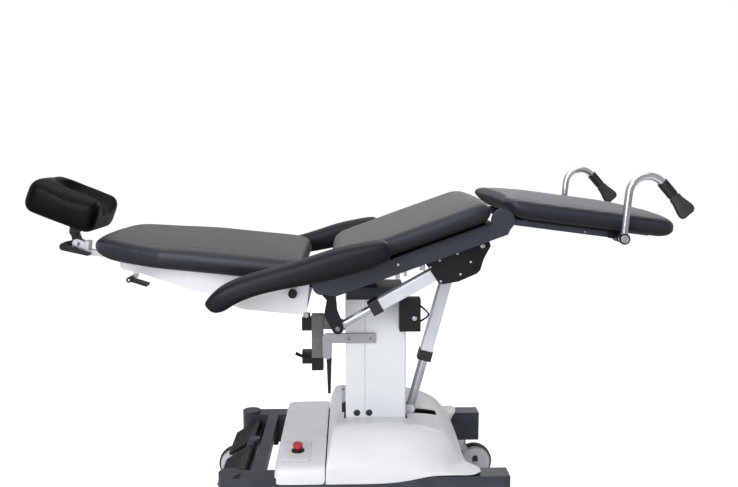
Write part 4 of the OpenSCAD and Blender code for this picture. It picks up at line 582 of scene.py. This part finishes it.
def cordLine(name, line, radius, material, body):
    # a round bead along an open line, such as a grip's rim
    curve = bpy.data.curves.new(name, "CURVE")
    curve.dimensions, curve.bevel_depth, curve.bevel_resolution = "3D", radius, 3
    spline = curve.splines.new("POLY")
    spline.points.add(len(line) - 1)
    for point, place in zip(spline.points, line):
        point.co = (*place, 1)
    curve.materials.append(made[material])
    piece = bpy.data.objects.new(name, curve)
    bpy.context.scene.collection.objects.link(piece)
    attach(piece, body)
    return piece


# main cushions

cushions = {
    "seat_cushion": {"body": "seat", "plane": seatPlane, "vinyl": "seat_vinyl", "start": 0.040,
                     "end": 0.528, "half": 0.300, "widths": [(0, 1), (0.5, 0.985), (1, 0.99)],
                     "low": 0.0083, "high": 0.0843, "crown": 0.006, "plan": (0.044, 0.040),
                     "edge": (0.050, 0.044)},
    "back_cushion": {"body": "back", "plane": backPlane, "vinyl": "back_vinyl", "start": -0.682,
                     "end": -0.050, "half": 0.300, "widths": [(0, 0.717), (0.1, 0.757), (0.24, 0.9),
                                                              (0.36, 0.99), (0.6, 0.985), (1, 1)],
                                                              "low": 0.0003, "high": 0.0843,
                                                              "heights": [(0, 0.9), (0.3, 0.9), (0.5, 1),
                                                                          (1, 1)], "crown": 0.006,
                                                                          "plan": (0.090, 0.038),
                                                                          "edge": (0.044, 0.042)},
    "leg_cushion": {"body": "leg", "plane": legPlane, "vinyl": "leg_vinyl", "start": -0.012, "end": 0.493,
                    "half": 0.300, "widths": [(0, 0.97), (0.15, 1), (0.6, 0.985), (1, 0.98)],
                    "low": 0.010, "high": 0.076, "crown": 0.006, "plan": (0.040, 0.044),
                    "edge": (0.018, 0.026), "lift": 0.028, "lifts": [(0, 1), (0.03, 0.96), (0.05, 0.86),
                                                                     (0.07, 0.66), (0.09, 0.34),
                                                                     (0.11, 0), (1, 0)]},
}
sewing = {"inset": 0.034, "corner": 0.03, "spacing": 0.03, "stitch": 0.004, "castFrom": 0.3, "width": 0.007,
          "depth": 0.0014}
filling = {"shrink": 0.004, "heldBelow": 0.008}
for name, values in cushions.items():
    plane = values["plane"]
    mesh = loftMesh(name, cushionRings(values, filling["shrink"]), plane)
    piece = addPiece(name + "_cover", mesh, values["vinyl"], values["body"], "upholstery")
    inset = sewing["inset"]
    path = roundedPath(values["start"] + inset, values["end"] - inset, values["half"] - inset,
                       values["widths"])
    puff(piece, puffing, seamLoop(piece, plane, path), values["low"] + filling["heldBelow"], plane)
    sinkSeam(piece, seamLoop(piece, plane, path))
    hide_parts(name)
    print("cushion made:", name, len(piece.data.vertices))


# head pad

headPad = {"start": -0.147, "end": 0.078, "half": 0.125, "widths": [(0, 0.94), (0.4, 1), (1, 0.96)],
           "low": 0.028, "high": 0.138, "crown": 0.0, "plan": (0.034, 0.028), "edge": (0.028, 0.026),
           "hollowAt": (-0.025, 0.163), "hollowRadius": 0.085, "blend": 0.010, "dish": 0.25,
           "shrink": 0.003, "heldBelow": 0.006}
padPuffing = dict(puffing, voxel=0.004, stiff=4.0, cap=0.003)


def hollowOut(piece, plane, values):
    # the trough for a head, open toward the neck
    flat = plane.inverted()
    centreX, centreZ = values["hollowAt"]
    for v in piece.data.vertices:
        p = flat @ v.co
        reach = p[1] ** 2 + min(0.0, p[0] - centreX) ** 2
        if reach < values["hollowRadius"] ** 2:
            floor = centreZ - sqrt(values["hollowRadius"] ** 2 - reach)
            if p[2] > floor - values["blend"]:
                t = min(1.0, (p[2] - floor + values["blend"]) / (2 * values["blend"]))
                p[2] = min(p[2], floor) - values["blend"] * values["dish"] * (1 - t) * t
                v.co = plane @ p


mesh = loftMesh("head_pad_cover", cushionRings(headPad, headPad["shrink"]), padPlane)
pad = addPiece("head_pad_cover", mesh, "pad_vinyl", "head", "pad_cover")
remesh = pad.modifiers.new("remesh", "REMESH")
remesh.mode, remesh.voxel_size = "VOXEL", padPuffing["voxel"]
applyModifiers(pad)
hollowOut(pad, padPlane, headPad)
puff(pad, padPuffing, [], headPad["low"] + headPad["heldBelow"], padPlane)
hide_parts("head_pad")
print("head pad made:", len(pad.data.vertices))


# armrests

# each row of shares: how far along, then the height over and under the spindle, and the width
armrest = {"length": 0.522, "behind": 0.062, "width": 0.070, "height": 0.080, "middle": 0.355, "power": 0.7,
           "around": 40,
           "shares": [(0, 0.02, 0.05, 0.3), (0.01, 0.1, 0.22, 0.55), (0.03, 0.2, 0.4, 0.75),
                      (0.082, 0.38, 0.43, 0.93), (0.119, 0.45, 0.35, 0.98), (0.174, 0.52, 0.25, 1),
                      (0.291, 0.555, 0.2, 1), (0.46, 0.5, 0.32, 1), (0.6, 0.5, 0.45, 1),
                      (0.69, 0.53, 0.49, 1), (0.79, 0.5, 0.52, 1), (0.908, 0.41, 0.51, 1),
                      (0.962, 0.35, 0.45, 0.95), (0.985, 0.28, 0.36, 0.84), (1, 0.16, 0.2, 0.56)]}
for side, sign in (("near", -1), ("far", 1)):
    rings = []
    for share, top, under, wide in armrest["shares"]:
        ring = []
        for k in range(armrest["around"]):
            angle = 2 * pi * k / armrest["around"]
            across, upward = [signedPower(turn(angle), armrest["power"]) for turn in (cos, sin)]
            y = sign * armrest["middle"] + armrest["width"] / 2 * wide * across
            lift = (top if sin(angle) > 0 else under) * armrest["height"] * upward
            ring.append((share * armrest["length"] - armrest["behind"], y, lift))
        rings.append(ring)
    arm = addPiece("armrest_" + side + "_foam", loftMesh("armrest_" + side + "_foam", rings, armPlane),
                   "arm_vinyl", "armrest_" + side, "pad_cover")
    arm.modifiers.new("finer", "SUBSURF").levels = 1
    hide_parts("armrest_" + side)
print("armrests made")


# moulded covers of the base

# x, then y and z of eight points from the skirt's edge to the middle, some of them set back along x
coverStations = [
    (-0.0668, [(0.306, 0.2335), (0.305, 0.238), (0.298, 0.242), (0.241, 0.243), (0.202, 0.243),
               (0.162, 0.243), (0.09, 0.243), (0, 0.243)]),
    (-0.0666, [(0.3085, 0.2335), (0.308, 0.262), (0.299, 0.284), (0.243, 0.290), (0.202, 0.292),
               (0.162, 0.292), (0.09, 0.292), (0, 0.292)]),
    (-0.0655, [(0.309, 0.2335), (0.309, 0.267), (0.301, 0.298, 0.003), (0.241, 0.346, 0.014),
               (0.202, 0.366, 0.019), (0.162, 0.360, 0.019), (0.09, 0.342, 0.015), (0, 0.340, 0.015)]),
    (-0.062, [(0.309, 0.2335), (0.309, 0.268), (0.301, 0.300, 0.005), (0.241, 0.350, 0.018),
              (0.202, 0.3735, 0.025), (0.162, 0.3665, 0.025), (0.09, 0.3475, 0.022), (0, 0.3455, 0.022)]),
    (0.020, [(0.309, 0.2335), (0.309, 0.268), (0.301, 0.300), (0.241, 0.350), (0.202, 0.3735),
             (0.162, 0.3665), (0.09, 0.3475), (0, 0.3455)]),
    (0.100, [(0.309, 0.2335), (0.309, 0.268), (0.301, 0.300), (0.240, 0.350), (0.201, 0.3735),
             (0.161, 0.3665), (0.09, 0.3475), (0, 0.3455)]),
    (0.170, [(0.3085, 0.240), (0.307, 0.266), (0.297, 0.294), (0.237, 0.346), (0.200, 0.3705),
             (0.162, 0.3645), (0.09, 0.347), (0, 0.345)]),
    (0.232, [(0.3055, 0.2545), (0.304, 0.264), (0.289, 0.281), (0.234, 0.332), (0.200, 0.3585),
             (0.164, 0.3565), (0.09, 0.345), (0, 0.3435)]),
    (0.281, [(0.304, 0.2545), (0.302, 0.262), (0.284, 0.270), (0.231, 0.303), (0.200, 0.337),
             (0.168, 0.342), (0.09, 0.338), (0, 0.337)]),
    (0.306, [(0.303, 0.2545), (0.300, 0.260), (0.282, 0.264), (0.231, 0.278), (0.201, 0.311),
             (0.171, 0.326), (0.09, 0.329), (0, 0.329)]),
    (0.324, [(0.303, 0.2545), (0.300, 0.259), (0.282, 0.261), (0.233, 0.265), (0.203, 0.282),
             (0.175, 0.303), (0.09, 0.314), (0, 0.316)]),
    (0.337, [(0.303, 0.2545), (0.300, 0.258), (0.282, 0.260), (0.235, 0.261), (0.206, 0.265),
             (0.178, 0.278), (0.09, 0.294), (0, 0.297)]),
    (0.350, [(0.302, 0.2548), (0.299, 0.2585), (0.281, 0.2605), (0.237, 0.2605), (0.208, 0.2595, -0.003),
             (0.180, 0.261, -0.004), (0.09, 0.269, -0.004), (0, 0.271, -0.004)]),
    (0.366, [(0.300, 0.2560), (0.297, 0.259), (0.280, 0.261), (0.239, 0.2600), (0.210, 0.256, -0.011),
             (0.181, 0.249, -0.016), (0.09, 0.250, -0.0155), (0, 0.251, -0.0155)]),
    (0.379, [(0.291, 0.2590), (0.288, 0.261), (0.275, 0.262), (0.241, 0.2595), (0.212, 0.251, -0.018),
             (0.182, 0.241, -0.026), (0.09, 0.240, -0.0265), (0, 0.240, -0.0265)]),
    (0.3835, [(0.285, 0.2560), (0.282, 0.2565), (0.270, 0.2565), (0.242, 0.2555), (0.214, 0.245, -0.020),
              (0.183, 0.2345, -0.030), (0.09, 0.2345, -0.0305), (0, 0.2345, -0.0305)])
]
headCoverSection = [(0.309, 0.2335), (0.309, 0.260), (0.300, 0.281), (0.270, 0.286), (0.2, 0.287),
                    (0.13, 0.287), (0.07, 0.287), (0, 0.287)]
headCoverStations = [
    (-0.2145, [(0.290, 0.2345), (0.290, 0.248), (0.284, 0.262), (0.262, 0.270), (0.2, 0.271), (0.13, 0.271),
               (0.07, 0.271), (0, 0.271)]),
    (-0.2125, [(0.303, 0.2345), (0.303, 0.256), (0.296, 0.276), (0.268, 0.284), (0.2, 0.285), (0.13, 0.285),
               (0.07, 0.285), (0, 0.285)]),
    (-0.195, [(0.309, 0.2335), (0.309, 0.259), (0.300, 0.280), *headCoverSection[3:]]),
    (-0.140, headCoverSection), (-0.085, headCoverSection), (-0.0685, headCoverSection)]
# openings for the column, the tilt actuator and the guide strip: two corners of each
coverHoles = [((-0.0141, -0.085, 0.30), (0.1841, 0.085, 0.40)),
              ((0.1799, -0.026, 0.28), (0.2819, 0.026, 0.40)),
              ((-0.0712, -0.082, 0.20), (-0.0491, -0.062, 0.40))]


def boxMesh(name, low, high):
    points = [(x, y, z) for x in (low[0], high[0]) for y in (low[1], high[1]) for z in (low[2], high[2])]
    faces = [(0, 1, 3, 2), (4, 6, 7, 5), (0, 4, 5, 1), (2, 3, 7, 6), (0, 2, 6, 4), (1, 5, 7, 3)]
    return meshOf(name, points, faces)


moulding = {"rounds": 3, "wall": 0.003, "sharpFrom": 50}


def mouldedCover(name, stations, holes, replaced):
    # a smooth sheet through the stations, given a wall and then its openings
    rows = []
    for x, half in stations:
        points = [(x + sum(p[2:]), p[0], p[1]) for p in half]
        rows.append([(a, -y, z) for a, y, z in points] + list(reversed(points[:-1])))
    wide = len(rows[0])
    points = [p for row in rows for p in row]
    faces = [(i * wide + k, i * wide + k + 1, (i + 1) * wide + k + 1, (i + 1) * wide + k)
             for i in range(len(rows) - 1) for k in range(wide - 1)]
    piece = addPiece(name, meshOf(name, points, faces), "white_cover", "base", "white_cover")
    if sum(f.normal[2] for f in piece.data.polygons) < 0:
        piece.data.flip_normals()
    piece.modifiers.new("smooth", "SUBSURF").levels = moulding["rounds"]
    wall = piece.modifiers.new("wall", "SOLIDIFY")
    wall.thickness, wall.offset = moulding["wall"], -1
    applyModifiers(piece)
    for low, high in holes:
        cutter = bpy.data.objects.new(name + "_hole", boxMesh(name + "_hole", low, high))
        bpy.context.scene.collection.objects.link(cutter)
        cut = piece.modifiers.new("hole", "BOOLEAN")
        cut.object, cut.operation, cut.solver = cutter, "DIFFERENCE", "EXACT"
        applyModifiers(piece)
        bpy.data.objects.remove(cutter)
        print("cover opening:", len(piece.data.vertices))
    sharpen(piece, moulding["sharpFrom"])
    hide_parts(replaced)


mouldedCover("main_cover", coverStations, coverHoles, "base_cover")
mouldedCover("rear_cover", headCoverStations, [], "head_cover")
print("covers made")


# screws and other turned details

def lathePiece(name, profile, turn, material, body, slotName, sides=40):
    # a profile of radius and height turned about the Z axis of its own frame
    angles = [2 * pi * k / sides for k in range(sides)]
    rings = [[(r * cos(a), r * sin(a), h) for a in angles] for r, h in profile]
    piece = addPiece(name, loftMesh(name, rings, turn), material, body, slotName)
    sharpen(piece, 35)
    return piece


def facing(place, direction, plane=None):
    # a frame at a place of a plane whose Z axis looks along a direction
    plane = plane or Matrix.Identity(4)
    turn = Vector(direction).to_track_quat("Z", "Y").to_matrix().to_4x4()
    return plane @ Matrix.Translation(Vector(place)) @ turn


def screwProfile(r):  # a button head with a socket
    return [(r * 0.34, r * 0.28), (r * 0.4, r * 0.62), (r * 0.62, r * 0.6), (r * 0.86, r * 0.42),
            (r, r * 0.12), (r, 0.0)]


def capProfile(r):  # a low cap with a raised rim and a boss
    return [(0.0, 0.0008), (r * 0.5, 0.0008), (r * 0.56, 0.0), (r * 0.66, 0.0), (r * 0.7, 0.0016),
            (r * 0.94, 0.0014), (r, 0.0004), (r, -0.0003)]


def plugProfile(r):  # a plug pushed into a hole, dished inside its rim
    return [(0.0, 0.0006), (r * 0.45, 0.0008), (r * 0.6, 0.0002), (r * 0.75, 0.0016), (r * 0.95, 0.0014),
            (r, 0.0)]


profiles = {"cap": capProfile, "plug": plugProfile}
near, far, up = (0, -1, 0), (0, 1, 0), (0, 0, 1)
# the gearbox plate in the seat's plane, in millimetres, and its screws as shares of its length and depth
gearPlate = {"start": 301, "length": 193, "top": -39, "depth": 92, "face": -0.2201,
             "screwShares": ((0.041, 0.25), (0.207, 0.152), (0.492, 0.141), (0.637, 0.533), (0.43, 0.793),
                             (0.119, 0.793))}
hook = {"x": 0.329, "z": -0.004, "face": 0.3266, "arm": 0.314}
screws = {}
for number, (a, b) in enumerate(gearPlate["screwShares"]):
    x = (gearPlate["start"] + gearPlate["length"] * a) / 1000
    z = (gearPlate["top"] - gearPlate["depth"] * b) / 1000
    screws["gear_screw_%d" % number] = {"at": (x, gearPlate["face"], z), "plane": seatPlane, "way": near,
                                        "r": 0.0042, "body": "seat", "finish": "bright_screw"}
for side, way, sign in (("near", near, -1), ("far", far, 1)):
    screws["plate_screw_" + side] = {"at": (0.141, sign * 0.2622, 0.861), "plane": None, "way": way,
                                     "r": 0.0045, "body": "seat", "finish": "bright_screw"}
    screws["leg_screw_" + side] = {"at": (0.240, sign * 0.2512, -0.003), "plane": legPlane, "way": way,
                                   "r": 0.005, "body": "leg", "finish": "dark_screw"}
    hookFace = (hook["x"], sign * hook["face"], hook["z"])
    screws["hook_cap_" + side] = {"at": hookFace, "plane": legPlane, "way": way, "r": 0.0105,
                                  "body": "hook_" + side, "finish": "bright_screw", "profile": "cap"}
screws["gear_bolt"] = {"at": (0.4715, -0.2196, -0.055), "plane": seatPlane, "way": near, "r": 0.0085,
                       "body": "seat", "finish": "bright_screw"}
screws["lever_bolt"] = {"at": (-0.03113, -0.2105, 0.665), "plane": None, "way": near, "r": 0.0085,
                        "body": "back", "finish": "dark_screw"}
screws["motor_bolt"] = {"at": (0.1997, -0.1303, 0.677), "plane": None, "way": near, "r": 0.0085,
                        "body": "lift", "finish": "bright_screw"}
screws["knuckle_ring"] = {"at": (-0.83971, -0.0262, 0.89292), "plane": None, "way": near, "r": 0.0062,
                          "body": "head_slide", "finish": "bright_screw", "profile": "cap"}
for name, x in (("column_plug_back", 0.0259), ("column_plug_front", 0.0639)):
    screws[name] = {"at": (x, -0.0800, 0.3652), "plane": None, "way": near, "r": 0.0105, "body": "lift",
                    "finish": "plug", "profile": "plug"}
for name, values in screws.items():
    profile = profiles.get(values.get("profile"), screwProfile)(values["r"])
    profile = [(max(a, 0.00005), b) for a, b in profile]  # the middle isn't closed to a point
    lathePiece(name, profile, facing(values["at"], values["way"], values["plane"]), values["finish"],
               values["body"], "steel", 28)
print("screws made:", len(screws))
ringProfile = [(0.0112, -0.0052), (0.0112, -0.0003), (0.0146, -0.0004), (0.0155, -0.0014),
               (0.0155, -0.0046), (0.0148, -0.0052)]
for side, way, sign in (("near", near, -1), ("far", far, 1)):
    hookFace = (hook["x"], sign * hook["face"], hook["z"])
    lathePiece("hook_ring_" + side, ringProfile, facing(hookFace, way, legPlane), "black_plastic",
               "hook_" + side, "black_plastic")

casterCap = {"r": 0.0535, "bore": 0.0078, "trail": 0.057, "out": 0.0229, "raised": 0.0032, "z": 0.0625,
             "ends": (("head", -0.34563, -1), ("foot", 0.39737, 1)),
             "sides": (("near", -0.2715), ("far", 0.2715))}
r, bore = casterCap["r"], casterCap["bore"]
capShape = [(bore, 0.0012), (0.010, 0.0026), (0.018, 0.0034), (0.034, casterCap["raised"]),
            (r - 0.004, 0.0018), (r - 0.001, 0.0008), (r, -0.0004), (r - 0.002, -0.0002), (bore, 0.0002)]


def wheelFaces(out):
    # both faces of the four wheels, each with a frame that lies so far out from the wheel's middle
    for end, x, sign in casterCap["ends"]:
        for side, y in casterCap["sides"]:
            for face, way in (("near", near), ("far", far)):
                place = (x + sign * casterCap["trail"], y + way[1] * out, casterCap["z"])
                yield "%s_%s" % (end, side), face, facing(place, way)


for wheel, face, turn in wheelFaces(casterCap["out"]):
    lathePiece("wheel_cap_%s_%s" % (wheel, face), capShape, turn, "hub_plastic", "wheel_" + wheel,
               "hub_plastic", 56)
print("wheel caps made")

button = {"place": (-0.1521, -0.195, 0.287), "bore": 0.0085, "height": 0.0078}
lathePiece("button_collar", [(button["bore"], 0.0), (button["bore"], button["height"]),
                             (0.0172, button["height"]), (0.0186, 0.0066), (0.019, 0.0)],
           facing(button["place"], up), "black_plastic", "base", "black_plastic", 48)


# plates, boards and blocks

def platePiece(name, outline, z, thick, edge, material, body, slotName, plane=None):
    # a flat plate with softened edges
    plane = plane or Matrix.Identity(4)
    rings = [[(x, y, z + h) for x, y in outline] for h in (0, thick)]
    piece = addPiece(name, loftMesh(name, rings, plane), material, body, slotName)
    soft = piece.modifiers.new("soft", "BEVEL")
    soft.width, soft.segments, soft.limit_method = edge, 3, "ANGLE"
    applyModifiers(piece)
    sharpen(piece, 40)


def roundedOutline(x0, x1, y0, y1, r):
    corners = ((x1 - r, y1 - r, 0), (x0 + r, y1 - r, 90), (x0 + r, y0 + r, 180), (x1 - r, y0 + r, 270))
    outline = []
    for x, y, turn in corners:
        angles = [radians(turn + 18 * k) for k in range(6)]
        outline += [(x + r * cos(a), y + r * sin(a)) for a in angles]
    return outline


plates = {
    "button_plate": {"box": (-0.199, -0.113, -0.268, -0.110), "corner": 0.010, "low": 0.2862,
                     "thick": 0.0026, "edge": 0.0012, "finish": "white_cover", "body": "base",
                     "slot": "white_cover"},
    "guide_strip": {"box": (-0.0215, -0.0125, -0.074, -0.068), "corner": 0.001, "low": 0.3655,
                    "thick": 0.084, "edge": 0.0006, "finish": "strip", "body": "base", "slot": "steel"},
    "seat_board": {"box": (0.046, 0.512, -0.288, 0.288), "corner": 0.03, "low": 0.0055, "thick": 0.0028,
                   "edge": 0.0006, "finish": "black_plastic", "body": "seat", "slot": "black_plastic",
                   "plane": seatPlane},
    "leg_board": {"box": (0.044, 0.350, -0.262, 0.262), "corner": 0.03, "low": 0.0060, "thick": 0.0037,
                  "edge": 0.0006, "finish": "black_plastic", "body": "leg", "slot": "black_plastic",
                  "plane": legPlane},
}
for name, values in plates.items():
    platePiece(name, roundedOutline(*values["box"], values["corner"]), values["low"], values["thick"],
               values["edge"], values["finish"], values["body"], values["slot"], values.get("plane"))
motorLink = {"radius": 0.003,
             "points": [(0.2175, -0.104, 0.712), (0.238, -0.104, 0.694), (0.2445, -0.104, 0.686),
                        (0.2445, -0.104, 0.681), (0.238, -0.104, 0.673), (0.2175, -0.104, 0.660)]}
cordLine("motor_link", [Vector(p) for p in motorLink["points"]], motorLink["radius"], "black_plastic",
         "lift")
wheelSlot = {"box": (-0.010, 0.010, 0.001, 0.027), "corner": 0.0098, "thick": 0.0009, "edge": 0.0003}
slotOutline = roundedOutline(*wheelSlot["box"], wheelSlot["corner"])
for wheel, face, turn in wheelFaces(casterCap["out"] + casterCap["raised"]):
    platePiece("wheel_slot_%s_%s" % (wheel, face), slotOutline, 0.0, wheelSlot["thick"], wheelSlot["edge"],
               "plug", "wheel_" + wheel, "hub_plastic", turn)
seatBlocks = {"height": 0.040, "half": 0.006, "under": 0.026, "slope": 0.36, "corner": 0.002,
              "edge": 0.001, "places": (("a", 0.142, -0.222, 0.012), ("b", 0.164, -0.224, 0.009),
                                        ("c", 0.213, -0.2275, 0.015))}
for letter, x, y, wide in seatBlocks["places"]:
    top = hinge.z + (x - hinge.x) * seatBlocks["slope"] - seatBlocks["under"]
    outline = roundedOutline(x - wide / 2, x + wide / 2, y - seatBlocks["half"], y + seatBlocks["half"],
                             seatBlocks["corner"])
    platePiece("seat_block_" + letter, outline, top - seatBlocks["height"], seatBlocks["height"],
               seatBlocks["edge"], "steel", "seat", "steel")
print("plates and blocks made")


# grips of the leg hooks

# each row of the shape: how far along the grip, then half its width and half its thickness
grip = {"turn": -93, "reach": 0.126, "bend": 134, "radius": 0.052, "sleeve": 0.047, "neck": 0.0150,
        "mouth": 0.0108, "tip": 0.0125, "ribs": 9, "ribMargin": 0.0015, "ribStep": 0.0016,
        "groove": 0.0005, "crest": 0.0002, "around": 32, "power": 0.8, "rim": 0.0034, "rimInset": 0.0006,
        "shape": [(0.040, 0.0140, 0.0138), (0.055, 0.0138, 0.0122), (0.068, 0.0146, 0.0112),
                  (0.082, 0.0178, 0.0105), (0.096, 0.0214, 0.0100), (0.107, 0.0226, 0.0092),
                  (0.114, 0.0206, 0.0072), (0.1175, 0.0150, 0.0040)]}
for side, sign in (("near", -1), ("far", 1)):
    pivot = legPlane @ Matrix.Translation((hook["x"], sign * hook["arm"], hook["z"]))
    end = Matrix.Translation((grip["reach"], 0, -grip["radius"]))
    bend = pivot @ Matrix.Rotation(radians(grip["turn"]), 4, "Y") @ end
    bend = bend @ Matrix.Rotation(radians(grip["bend"]), 4, "Y")
    gripPlane = bend @ Matrix.Translation((0, 0, grip["radius"])) @ Matrix.Rotation(radians(90), 4, "Y")
    sleeve, margin = grip["sleeve"], grip["ribMargin"]
    low, high = grip["neck"] - grip["groove"], grip["neck"] + grip["crest"]
    profile = [(grip["mouth"], 0.0)]
    for k in range(grip["ribs"]):
        h = margin + (sleeve - 2 * margin) * k / (grip["ribs"] - 1)
        profile += [(low, h - grip["ribStep"]), (high, h)]
    profile += [(low, sleeve), (grip["tip"], sleeve + 0.001)]
    ribbed = lathePiece("grip_sleeve_" + side, profile, gripPlane, "grip_plastic", "hook_" + side,
                        "grip_plastic")
    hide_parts("hook_grip_" + side)
    angles = [2 * pi * k / grip["around"] for k in range(grip["around"])]
    rings = []
    for h, a, b in grip["shape"]:
        rings.append([(a * signedPower(cos(t), grip["power"]), b * signedPower(sin(t), grip["power"]), h)
                      for t in angles])
    paddle = addPiece("grip_paddle_" + side, loftMesh("grip_paddle_" + side, rings, gripPlane),
                      "grip_paddle", "hook_" + side, "grip_plastic")
    paddle.modifiers.new("finer", "SUBSURF").levels = 1
    applyModifiers(paddle)
    rim = [gripPlane @ Vector((a - grip["rimInset"], 0, h)) for h, a, b in grip["shape"][1:]]
    rim += [gripPlane @ Vector((grip["rimInset"] - a, 0, h)) for h, a, b in reversed(grip["shape"][1:])]
    cordLine("grip_rim_" + side, rim, grip["rim"], "grip_plastic", "hook_" + side)
print("grips made")


# floor and background

floorValues = {"half": 30.0, "colour": (0.86, 0.86, 0.865, 1), "light": 0.42, "shown": 1.0, "white": 0.64,
               "mirrored": 0.15}
floorMesh = bpy.data.meshes.new("floor")
reach = floorValues["half"]
floorMesh.from_pydata([(-reach, -reach, 0), (reach, -reach, 0), (reach, reach, 0), (-reach, reach, 0)], [],
                      [(0, 1, 2, 3)])
floor = bpy.data.objects.new("floor", floorMesh)
bpy.context.scene.collection.objects.link(floor)
material, wire = newMaterial("floor")
spread = wire.node("ShaderNodeTexCoord", output="Object").noise(1.3, 4)
plain = wire.node("ShaderNodeBsdfPrincipled", {}, {
    "Base Color": floorValues["colour"], "Roughness": 0.55 + spread * 0.2, "Specular IOR Level": 0.25})
bright = wire.node("ShaderNodeEmission", {}, {"Color": (1, 1, 1, 1), "Strength": floorValues["white"]})
both = wire.node("ShaderNodeAddShader", {}, {0: plain, 1: bright})
looked = wire.node("ShaderNodeLightPath", output="Is Camera Ray")
closeMaterial(wire, wire.node("ShaderNodeMixShader", {}, {0: looked, 1: plain, 2: both}))
floorMesh.materials.append(material)

world = bpy.data.worlds.new("studio")
bpy.context.scene.world = world
world.use_nodes = True
world.node_tree.nodes.clear()
wire = Wire(world.node_tree)
seen = wire.node("ShaderNodeLightPath", output="Is Camera Ray")
seen = seen + wire.node("ShaderNodeLightPath", output="Is Glossy Ray") * floorValues["mirrored"]
strength = floorValues["light"] + seen * (floorValues["shown"] - floorValues["light"])
background = wire.node("ShaderNodeBackground", {}, {"Color": (1, 1, 1, 1), "Strength": strength})
wire.node("ShaderNodeOutputWorld", {}, {"Surface": background})
print("studio made")
